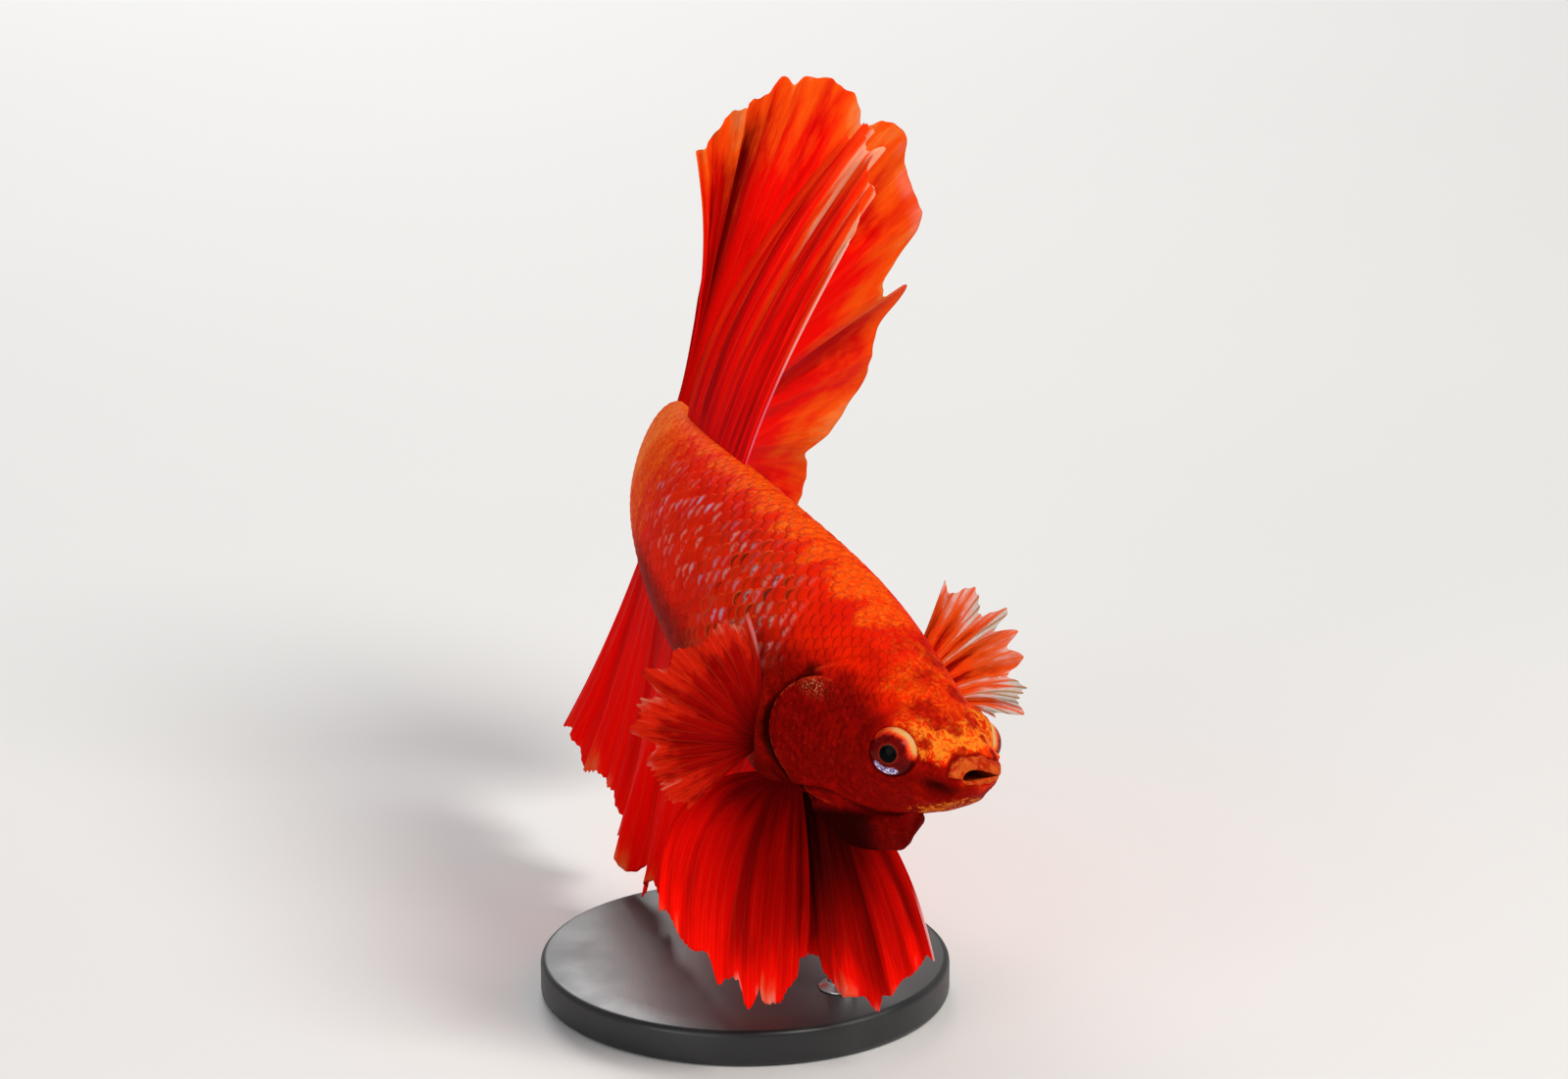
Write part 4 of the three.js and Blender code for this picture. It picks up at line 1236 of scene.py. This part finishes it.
def eye_material():
    """Eye: a black pupil in a thin orange ring, a red iris that darkens outwards, cream over the top, partly
    the eye's own pale colour and partly a painted highlight, and a painted pale lilac glint under the pupil,
    all faintly wet. tilt is the angle from the way the eye looks, in degrees."""
    material, nodes, shader = new_material("Betta eye")
    mix, times, span = nodes.mix, nodes.times, nodes.span
    tilt, top, patch = (nodes.value_of(key) for key in ("tilt", "top", "patch"))
    place = nodes.place()
    streak = nodes.noise(place, 2600.0, 4.0, 0.6, 0.6)
    speck = nodes.noise(place, 7000.0, 2.0)
    iris = mix(span(streak, 0.3, 0.75), (0.085, 0.001, 0.001), (0.17, 0.002, 0.001))
    iris = mix(span(tilt, 40.0, 64.0), iris, (0.06, 0.001, 0.001))
    # The cream top: the eye's own pale colour with a painted highlight.
    cream = mix(span(streak, 0.36, 0.66), tone("cream"), (0.8, 0.3, 0.05))
    soft = nodes.plus(top, span(streak, 0.3, 0.7, -0.16, 0.1))
    upper = mix(span(soft, 0.05, 0.45), iris, (0.6, 0.015, 0.003))
    upper = mix(span(soft, 0.35, 0.75), upper, (0.85, 0.12, 0.02))
    upper = mix(span(soft, 0.64, 0.98), upper, cream)
    ringed = mix(times(span(tilt, 25.0, 22.5), 0.16), upper, (0.6, 0.06, 0.015))
    # Painted glint: a pale lilac patch under the pupil.
    lilac = mix(span(speck, 0.42, 0.56), (0.85, 0.8, 0.98), (0.16, 0.08, 0.32))
    lit = mix(times(span(patch, 0.25, 0.6), span(streak, 0.22, 0.42)), ringed, lilac)
    pupil = mix(span(tilt, 20.5, 19.3), lit, (0.0005, 0.0003, 0.0005))
    rimmed = mix(span(tilt, 70.0, 76.0), pupil, (0.05, 0.002, 0.001))
    nodes.wire(shader, {"Base Color": rimmed, "Roughness": span(streak, 0.3, 0.7, 0.22, 0.38)})
    shader.inputs["Specular IOR Level"].default_value = 0.03
    shader.inputs["Coat Weight"].default_value = 0.04
    shader.inputs["Coat Roughness"].default_value = 0.03
    return material


def build_eyes():
    """Each eyeball turned about the way it looks: a ball, a little steeper over the pupil, with a
    shallow step at the pupil's rim and at the rim of the iris."""
    material = eye_material()
    tilt = np.linspace(0, np.pi, EYE_RINGS + 2)[1:-1]
    degrees = np.degrees(tilt)
    radius = EYE["radius"] * (1 + 0.03 * bell(degrees, 30) - 0.02 * bell(degrees - 66, 5))
    radius = radius - 0.03 * ease(21, 17, degrees)
    t, clock = np.meshgrid(tilt, np.arange(EYE_AROUND) / EYE_AROUND * TURN, indexing="ij")
    degrees = np.degrees(t)
    for name, side in SIDES:
        centre, axis = eye_axis(side)
        top = unit(np.array([0, 1.0, 0]) - axis * axis[1])
        front = np.cross(axis, top) * side
        outwards, upwards, forwards = np.cos(t), np.sin(t) * np.cos(clock), np.sin(t) * np.sin(clock)
        ball = outwards[..., None] * axis + upwards[..., None] * top + forwards[..., None] * front
        points = centre + radius[:, None, None] * ball
        poles = np.stack([centre + axis * radius[0], centre - axis * radius[-1]])
        flat = bend(np.concatenate([points.reshape(-1, 3), poles]))
        high = np.cos(clock)
        forward = -np.sin(clock) if front[0] > 0 else np.sin(clock)
        # The top mask places the cream and its painted highlight; the patch mask places the painted glint
        # under the pupil.
        over = ease(-0.15, 0.5, high + 0.15 * forward) + ease(0.15, 0.9, 0.8 * high + 0.6 * forward)
        crown = 0.5 * over * ease(32, 62, degrees)
        patch = bell(degrees - 45, 12) * ease(0.6, 0.9, -0.98 * high - 0.1 * forward)
        masks = {"tilt": (degrees, 180), "top": (crown, 0), "patch": (patch, 0)}
        masks = {key: np.append(value, [0, last]) for key, (value, last) in masks.items()}
        eye = piece(f"eye_{name}_ball", flat, tube_faces(EYE_RINGS, EYE_AROUND), material, masks)
        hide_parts(f"eye_{name}")


# ------------------------------------------------------------------ fins

# A fin's colours from its root out: root, web, edge and tip; where the edge colour starts; from where and
# how far the margin is clear; how dark the painted shade in its valleys is; how bright its rays; how many
# pale spots its margin has; how dark its dusk; how far its crests draw the edge colour in, as painted light;
# how streaky it is; how pale its front ray is, and from where; and how pale its rear border is.
PLAIN_LOOK = {"clear": 0.1, "crest": 0.05, "dusk": 0.0, "lead": (0.0, 0.0), "trail": 0.0}
FIN_LOOKS = {
    "dorsal_fin": {
        "root": (0.66, 0.003, 0.005), "web": (0.9, 0.004, 0.002),
        "edge": (0.98, 0.06, 0.004), "tip": (1.0, 0.4, 0.22), "from": 0.66, "thin": 0.98, "clear": 0.05,
        "valley": 0.6, "rays": 0.1, "spots": 0.3, "crest": 0.36, "streaks": 0.06, "lead": (0.65, 0.0),
        "trail": 0.2,
    },
    "caudal_fin": {
        "root": (0.55, 0.003, 0.002), "web": (0.88, 0.003, 0.001),
        "edge": (0.92, 0.09, 0.004), "tip": (0.95, 0.2, 0.03), "from": 0.66, "thin": 1.02, "clear": 0.12,
        "valley": 0.6, "rays": 0.05, "spots": 0.3, "dusk": 0.85, "crest": 0.12, "streaks": 0.1,
    },
    "anal_fin": {
        "root": (0.62, 0.002, 0.001), "web": (0.9, 0.002, 0.001),
        "edge": (0.95, 0.01, 0.002), "tip": (0.92, 0.13, 0.02), "from": 0.88, "thin": 1.0, "clear": 0.15,
        "valley": 0.4, "rays": 0.04, "spots": 0.2, "streaks": 0.04, "trail": 0.1,
    },
    "pelvic_fin_right": {
        "root": (0.22, 0.001, 0.001), "web": (0.7, 0.002, 0.001),
        "edge": (0.98, 0.004, 0.001), "tip": (0.95, 0.12, 0.04), "from": 0.68, "thin": 1.0,
        "valley": 0.7, "rays": 0.04, "spots": 0.35, "dusk": 0.35, "streaks": 0.035,
    },
    # The left pelvic fin's near-black root is painted shade.
    "pelvic_fin_left": {
        "root": (0.05, 0.001, 0.001), "web": (0.58, 0.002, 0.001),
        "edge": (0.9, 0.004, 0.001), "tip": (0.88, 0.08, 0.03), "from": 0.74, "thin": 1.0,
        "valley": 0.85, "rays": 0.03, "spots": 0.15, "dusk": 0.9, "streaks": 0.035, "lead": (0.9, 0.7),
    },
    "pectoral_fin_right": {
        "root": (0.15, 0.0015, 0.001), "web": (0.3, 0.002, 0.001),
        "edge": (0.74, 0.018, 0.004), "tip": (0.75, 0.17, 0.09), "from": 0.62, "thin": 0.82, "clear": 0.75,
        "valley": 0.75, "rays": 0.05, "spots": 0.2, "crest": 0.14, "streaks": 0.1, "lead": (0.25, 0.55),
    },
    "pectoral_fin_left": {
        "root": (0.5, 0.003, 0.001), "web": (0.9, 0.022, 0.002),
        "edge": (0.9, 0.13, 0.008), "tip": (0.34, 0.24, 0.08), "from": 0.45, "thin": 0.66, "clear": 0.68,
        "valley": 0.95, "rays": 0.12, "spots": 0.0, "crest": 0.26, "streaks": 0.1,
    },
}


def fin_material(name, rays):
    """Fin: deep red at the root, turning orange and pale to the margin, with painted shade in its valleys and
    painted light on its crests, brighter on its rays, with pale spots along the margin; the webs there are
    thin enough to see through."""
    look = PLAIN_LOOK | FIN_LOOKS[name]
    material, nodes, shader = new_material(f"Betta {name.replace('_', ' ')}")
    mix, plus, times, span = nodes.mix, nodes.plus, nodes.times, nodes.span
    out, across, ray, fold, shade = (nodes.value_of(key) for key in ("out", "across", "ray", "fold", "dusk"))
    along = times(out, 1.6)
    broad = nodes.noise(nodes.vector(times(across, rays * 0.6), along), 1.6, 2.0)
    streak = nodes.noise(nodes.vector(times(across, rays * 1.0), along), 3.0, 3.0, 0.6)
    fine = nodes.noise(nodes.vector(times(across, rays * 9.0), along), 1.5, 2.0)
    streaks = look["streaks"]
    # The crests draw the edge colour in: painted light.
    ragged = plus(out, span(streak, 0.3, 0.7, -streaks, streaks), span(fold, 0.3, 0.95, -0.08, look["crest"]))
    ragged = plus(ragged, span(broad, 0.35, 0.65, -0.06, 0.06))
    base = mix(span(ragged, 0.0, 0.5), look["root"], look["web"])
    # Painted shade in the valleys of the folds.
    deep = plus(fold, span(streak, 0.3, 0.7, -1.6 * streaks, 1.6 * streaks))
    deep = times(span(deep, 0.5, 0.12), span(out, 1.0, 0.7, 0.35, 1.0), look["valley"])
    base = mix(deep, base, (0.2, 0.001, 0.001))
    base = mix(times(shade, look["dusk"]), base, (0.014, 0.0005, 0.0005))
    base = mix(span(ragged, look["from"], 1.02), base, look["edge"])
    lit = times(span(ray, 0.25, 0.9), span(ragged, 0.2, 0.75, 0.25, 1.0), look["rays"])
    base = mix(lit, base, (0.95, 0.13, 0.03))
    base = mix(times(span(ragged, 0.96, 1.1), 0.9), base, look["tip"])
    spots = times(span(broad, 0.56, 0.66), span(out, 0.93, 1.0), look["spots"])
    base = mix(spots, base, (0.9, 0.42, 0.34))
    webs = mix(span(fine, 0.35, 0.7, 2.0 * streaks, 0.0), base, look["root"])
    webs = mix(times(span(across, 0.93, 0.985), look["trail"]), webs, look["edge"])
    strength, start = look["lead"]
    leading = times(span(across, 0.018, 0.007), span(out, start, start + 0.2), strength)
    front_ray = mix(span(out, 0.35, 0.6), (0.8, 0.16, 0.24), (0.9, 0.46, 0.44))
    thin = times(span(ragged, look["thin"], 1.06), span(ray, 0.8, 0.15, 0.35, 1.0), look["clear"])
    looks = {"Base Color": mix(leading, webs, front_ray), "Roughness": span(streak, 0.3, 0.7, 0.4, 0.6)}
    looks |= {"Alpha": nodes.math("SUBTRACT", 1.0, thin), "Normal": nodes.bump(0.3, 0.00005, fine)}
    nodes.wire(shader, looks)
    shader.inputs["Specular IOR Level"].default_value = 0.008
    shader.inputs["Specular Tint"].default_value = FIN_SHEEN
    return material


def ray_height(fin, a, b, wide=1.0):
    """Height from 0 to 1 of the rays on a fin: a bell of the distance to the nearest ray line, where each ray
    parts in two at its first split and again at its second."""
    first, second = fin["splits"]
    x = np.abs(np.mod(a * fin["bony_rays"], 1) - 0.5)
    x = np.abs(x - 0.25 * ease(first, first + 0.3, b))
    x = np.abs(x - 0.125 * ease(second, second + 0.3, b))
    return bell(x, wide * (0.085 - 0.045 * b))


def uneven(a, steps, seed):
    """Chance values from 0 to 1, one to each step across a fin, eased from one to the next."""
    values = np.random.default_rng(seed).random(int(steps) + 2)
    x = a * steps
    i = np.floor(x).astype(int)
    t = ease(0, 1, x - i)
    return values[i] * (1 - t) + values[i + 1] * t


def margin_cut(fin, a, reach):
    """Share of its reach by which the margin falls short: broad lobes, branches of unlike length, webs
    that end a little inside their branches, and the trims, each a bell (place, width, share)."""
    lobe = 0.5 - 0.5 * np.cos(TURN * (fin["lobes"] * a + 0.22 * np.sin(TURN * 1.7 * a + 1)))
    depth = fin["notch"] * lobe * (0.5 + uneven(a, fin["lobes"], 3))
    branches = 2 * fin["bony_rays"]
    web = 1 - ray_height(fin, a, np.ones_like(a), 1.8)
    torn = 0.8 * uneven(a, branches, 5) ** 2 + 0.35 * web * uneven(a, branches / 2, 11)
    trimmed = sum(share * bell(a - middle, width) for middle, width, share in fin["trims"])
    return depth - 0.4 * fin["notch"] + fin["bite"] * (torn - 0.2) / reach + trimmed


def fan(fin, a, b):
    """The fan without its folds: a curve from each root to its tip, bent towards its middle and short by its
    cut: 2t(1 - t) of the middle and t squared of the tip, along the body's axes at the root."""
    rays = np.array(fin["rays"], float)
    row = smooth(rays[:, 0], rays[:, 1:], a[:, 0])
    place, back, up, left = frames(row[:, 0])
    reach = np.linalg.norm(row[:, 6:9], axis=1)
    cut = margin_cut(fin, a[:, 0], reach)[:, None]
    t = b * (1 - cut * b**3)
    start = row[:, None, :3] * (0, 1, 1)
    offset = start + (2 * t * (1 - t))[..., None] * row[:, None, 3:6] + (t * t)[..., None] * row[:, None, 6:9]
    axes = np.stack([back, up, left], 1)
    return place[:, None] + np.einsum("abk,akx->abx", offset, axes)


def folds(fin, a, b):
    """Height of a fin's folds over its fan: big waves of uneven height that grow outwards, and narrow pleats
    that fade in and out across it."""
    turn = TURN * (fin["waves"] * a ** fin["crowd"] + fin["phase"])
    tall = 0.55 + 0.45 * np.sin(TURN * 1.3 * a + 2 + b)
    wave = tall * np.sin(turn + 0.5 * np.sin(0.6 * turn + 2 * b)) + 0.3 * np.sin(2.3 * turn + b)
    big = fin["ruffle"] * b**1.3 * wave
    strong = 0.4 + 0.9 * uneven(a, fin["bony_rays"] / 2, 21)
    small = fin["pleat"] * b**0.8 * strong * np.cos(TURN * fin["bony_rays"] * a + np.pi)
    return big + small


def dusk(name, a, b):
    """The part of a fin that lies in deep shade: one fold beside the caudal fin's upper rays, and on the
    other fins the inner half, away from the front rays."""
    if name == "caudal_fin":
        return bell(a - 0.125, 0.065) * window(b, 0.1, 0.45, 0.85, 1.02)
    return ease(0.85, 0.15, b - 0.3 * ease(0.2, 1.0, a)) * ease(0.0, 0.35, a)


def sheet_normals(points):
    """Unit normals of an open grid, square to its two directions."""
    return unit(np.cross(np.gradient(points, axis=0), np.gradient(points, axis=1)))


def build_fins():
    """Each fin as a thin closed shell: the fan, folded along its normal, thicker on its rays."""
    sizes = bpy.context.scene.betta_sizes
    for name, own in FINS.items():
        fin = PLAIN_FIN | own
        across, out = fin["grid"]
        a, b = np.meshgrid(np.linspace(0, 1, across), np.linspace(0, 1, out) ** 0.9, indexing="ij")
        middle = fan(fin, a, b)
        high = folds(fin, a, b)
        middle = middle + sheet_normals(middle) * high[..., None]
        ray = ray_height(fin, a, b)
        half = 0.5 * (sizes.membrane + sizes.bony_ray * fin["relief"] * ray * (1 - 0.65 * b)) / MM
        wall = sheet_normals(middle) * (half * ease(1.06, 0.85, b))[..., None]
        points = np.concatenate([middle + wall, middle - wall]).reshape(-1, 3)
        tallest = (0.9 * fin["ruffle"] + fin["pleat"]) * np.maximum(b, 0.12) ** 1.2
        fold = np.clip(0.5 + 0.5 * high / tallest, 0, 1)
        masks = {"across": a, "out": b, "ray": ray, "fold": fold, "dusk": dusk(name, a, b)}
        masks = {key: np.tile(value.ravel(), 2) for key, value in masks.items()}
        material = fin_material(name, fin["bony_rays"])
        shell = piece(f"{name}_web", points, shell_faces(across, out), material, masks)
        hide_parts(name)


# ------------------------------------------------------------------ stand


def base_material():
    """Satin black paint: a fine orange-peel bump, faint dust and slightly worn roughness."""
    material, nodes, shader = new_material("Stand satin black")
    place = nodes.place()
    peel = nodes.noise(place, 2200.0, 2.0)
    cloud = nodes.noise(place, 160.0, 4.0)
    dusty = nodes.mix(nodes.span(cloud, 0.4, 0.75), (0.012, 0.012, 0.013), (0.026, 0.025, 0.024))
    looks = {"Base Color": dusty, "Roughness": nodes.span(cloud, 0.3, 0.7, 0.34, 0.48)}
    nodes.wire(shader, {**looks, "Normal": nodes.bump(0.12, 0.00005, peel)})
    return material


def rod_material():
    """Drawn steel: fine lines round the rod and small changes of roughness."""
    material, nodes, shader = new_material("Stand drawn steel")
    inputs = {"Vector": nodes.place(), "Scale": (1.0, 1.0, 14.0)}
    stretched = nodes.add("ShaderNodeMapping", inputs).outputs[0]
    lines = nodes.noise(stretched, 700.0, 3.0)
    steel = nodes.mix(nodes.span(lines, 0.3, 0.7), (0.52, 0.52, 0.53), (0.66, 0.66, 0.65))
    looks = {"Base Color": steel, "Roughness": nodes.span(lines, 0.3, 0.7, 0.22, 0.38)}
    nodes.wire(shader, {**looks, "Normal": nodes.bump(0.15, 0.00002, lines)})
    shader.inputs["Metallic"].default_value = 1.0
    return material


def turned(name, profile, centre, around, material):
    """A piece turned about an upright line: rings of a profile of (radius, height), closed at both ends."""
    radius, height = np.array(profile, float).T
    turn = np.arange(around) / around * TURN
    x, y = radius[:, None] * np.cos(turn), radius[:, None] * np.sin(turn)
    rings = np.stack([x, y, height[:, None] + 0 * turn], -1) + (*centre, 0)
    ends = [(*centre, height[0]), (*centre, height[-1])]
    flat = np.concatenate([rings.reshape(-1, 3), ends])
    return piece(name, flat, tube_faces(len(profile), around), material)


def round_edge(radius, height, edge, top):
    """Points of a quarter round between a wall and a flat, from the wall up or from the flat down."""
    angle = np.linspace(0, np.pi / 2, EDGE_POINTS)
    if top:
        return [(radius - edge + edge * math.cos(t), height - edge + edge * math.sin(t)) for t in angle]
    return [(radius - edge + edge * math.sin(t), height + edge - edge * math.cos(t)) for t in angle]


def build_stand():
    """A turned disc, and a turned rod whose foot flares onto it; the rod stands where the frame has it."""
    radius, height, edge = BASE["radius"], BASE["height"], BASE["edge"]
    flat_at = (0.02, 0.4, 0.8)
    profile = [(radius * k, 0.0) for k in flat_at]
    profile += round_edge(radius, 0.0, edge, top=False) + round_edge(radius, height, edge, top=True)
    profile += [(radius * k, height) for k in reversed(flat_at)]
    base = turned("stand_base_disc", profile, (0, 0), BASE["around"], base_material())
    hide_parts("stand_base")
    low, high = (np.array(corner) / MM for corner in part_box("stand_rod"))
    foot, head = low[2] - ROD["sunk"], high[2]
    r, flare = ROD["radius"], ROD["flare"]
    profile = [(r * 0.05, foot), (r * 1.7, foot)]
    profile += [(r * 1.6, foot + 0.3 * flare), (r * 1.05, foot + 0.7 * flare)]
    profile += [(r, foot + flare + (head - foot - flare) * k / 8) for k in range(9)] + [(r * 0.05, head)]
    centre = (low + high)[:2] / 2
    rod = turned("stand_rod_pin", profile, centre, ROD["around"], rod_material())
    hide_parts("stand_rod")


# ------------------------------------------------------------------ stage


def floor_material():
    """Studio floor: matt, with the faintest clouding."""
    material, nodes, shader = new_material("Studio floor")
    cloud = nodes.noise(nodes.place(), 12.0, 3.0)
    pale = np.array(bpy.context.scene.betta_studio.floor)
    nodes.wire(shader, {"Base Color": nodes.mix(nodes.span(cloud, 0.3, 0.7), pale, 0.985 * pale)})
    shader.inputs["Roughness"].default_value = 0.7
    return material


def look_at(thing, place, aim):
    """Moves a lamp or a camera to a place and turns it to face the aim."""
    thing.location = place
    thing.rotation_euler = (aim - thing.location).to_track_quat("-Z", "Y").to_euler()


def area_light(name, place, aim, size, power, tint):
    """A round soft light."""
    light = bpy.data.lights.new(name, "AREA")
    light.shape = "DISK"
    light.size = size
    light.energy = power
    light.color = tint
    look_at(put(name, light), place, aim)


def build_stage():
    """A square floor, an even pale sky, three round soft lights about the model's middle, and the camera."""
    scene = bpy.context.scene
    studio = scene.betta_studio
    mesh = bpy.data.meshes.new("floor")
    half = FLOOR_HALF
    corners = [(-half, -half, 0), (half, -half, 0), (half, half, 0), (-half, half, 0)]
    mesh.from_pydata(corners, [], [(0, 1, 2, 3)])
    mesh.materials.append(floor_material())
    floor = put("floor", mesh)
    world = bpy.data.worlds.new("Studio")
    world.use_nodes = True
    sky = world.node_tree.nodes["Background"]
    sky.inputs["Color"].default_value = (0.9, 0.92, 0.95, 1)
    sky.inputs["Strength"].default_value = studio.sky
    scene.world = world
    middle = Vector([(low + high) / 2 for low, high in zip(*CAD_BOX)])
    for name, (place, size, power, tint) in LIGHTS.items():
        area_light(name, middle + Vector(place), middle, size, power, tint)
    camera = bpy.data.cameras.new("camera")
    camera.lens = studio.lens
    camera.sensor_width = 36.0
    camera.clip_start = 0.01
    azimuth, elevation = math.radians(studio.azimuth), math.radians(studio.elevation)
    level = math.cos(elevation)
    way = Vector((math.sin(azimuth) * level, -math.cos(azimuth) * level, math.sin(elevation)))
    aim = Vector(AIM)
    scene.camera = put("camera", camera)
    look_at(scene.camera, aim + studio.distance * way, aim)
    scene.view_settings.view_transform = "Standard"


# ------------------------------------------------------------------ operators and panel


class BETTA_OT_skin(bpy.types.Operator):
    """Build the one skin of head, body and gill covers"""

    bl_idname = "betta.skin"
    bl_label = "Skin"

    def execute(self, context):
        build_skin()
        return {"FINISHED"}


class BETTA_OT_scales(bpy.types.Operator):
    """Lay the scales over the skin"""

    bl_idname = "betta.scales"
    bl_label = "Scales"

    def execute(self, context):
        build_scales()
        return {"FINISHED"}


class BETTA_OT_eyes(bpy.types.Operator):
    """Set the two eyeballs in their sockets"""

    bl_idname = "betta.eyes"
    bl_label = "Eyes"

    def execute(self, context):
        build_eyes()
        return {"FINISHED"}


class BETTA_OT_fins(bpy.types.Operator):
    """Spread the seven fins"""

    bl_idname = "betta.fins"
    bl_label = "Fins"

    def execute(self, context):
        build_fins()
        return {"FINISHED"}


class BETTA_OT_stand(bpy.types.Operator):
    """Turn the stand's base and rod"""

    bl_idname = "betta.stand"
    bl_label = "Stand"

    def execute(self, context):
        build_stand()
        return {"FINISHED"}


class BETTA_OT_stage(bpy.types.Operator):
    """Set up the floor, lights and camera"""

    bl_idname = "betta.stage"
    bl_label = "Stage"

    def execute(self, context):
        build_stage()
        return {"FINISHED"}


class BETTA_PT_panel(bpy.types.Panel):
    """The betta's building steps, sizes and colours"""

    bl_idname = "BETTA_PT_panel"
    bl_label = "Betta fish"
    bl_space_type = "VIEW_3D"
    bl_region_type = "UI"
    bl_category = "Betta"

    def draw(self, context):
        for operator in OPERATORS:
            self.layout.operator(operator.bl_idname)
        for group in (context.scene.betta_sizes, context.scene.betta_colours, context.scene.betta_studio):
            box = self.layout.box()
            for key in group.bl_rna.properties.keys():
                if key not in ("rna_type", "name"):
                    box.prop(group, key)


OPERATORS = (
    BETTA_OT_skin,
    BETTA_OT_scales,
    BETTA_OT_eyes,
    BETTA_OT_fins,
    BETTA_OT_stand,
    BETTA_OT_stage,
)
GROUPS = {"betta_sizes": BettaSizes, "betta_colours": BettaColours, "betta_studio": BettaStudio}


def register():
    for made in (*GROUPS.values(), *OPERATORS, BETTA_PT_panel):
        bpy.utils.register_class(made)
    for name, group in GROUPS.items():
        setattr(bpy.types.Scene, name, PointerProperty(type=group))


def unregister():
    for name in GROUPS:
        delattr(bpy.types.Scene, name)
    for made in reversed((*GROUPS.values(), *OPERATORS, BETTA_PT_panel)):
        bpy.utils.unregister_class(made)


def main():
    register()
    for operator in OPERATORS:
        group, name = operator.bl_idname.split(".")
        getattr(getattr(bpy.ops, group), name)()


if __name__ == "__main__":
    main()
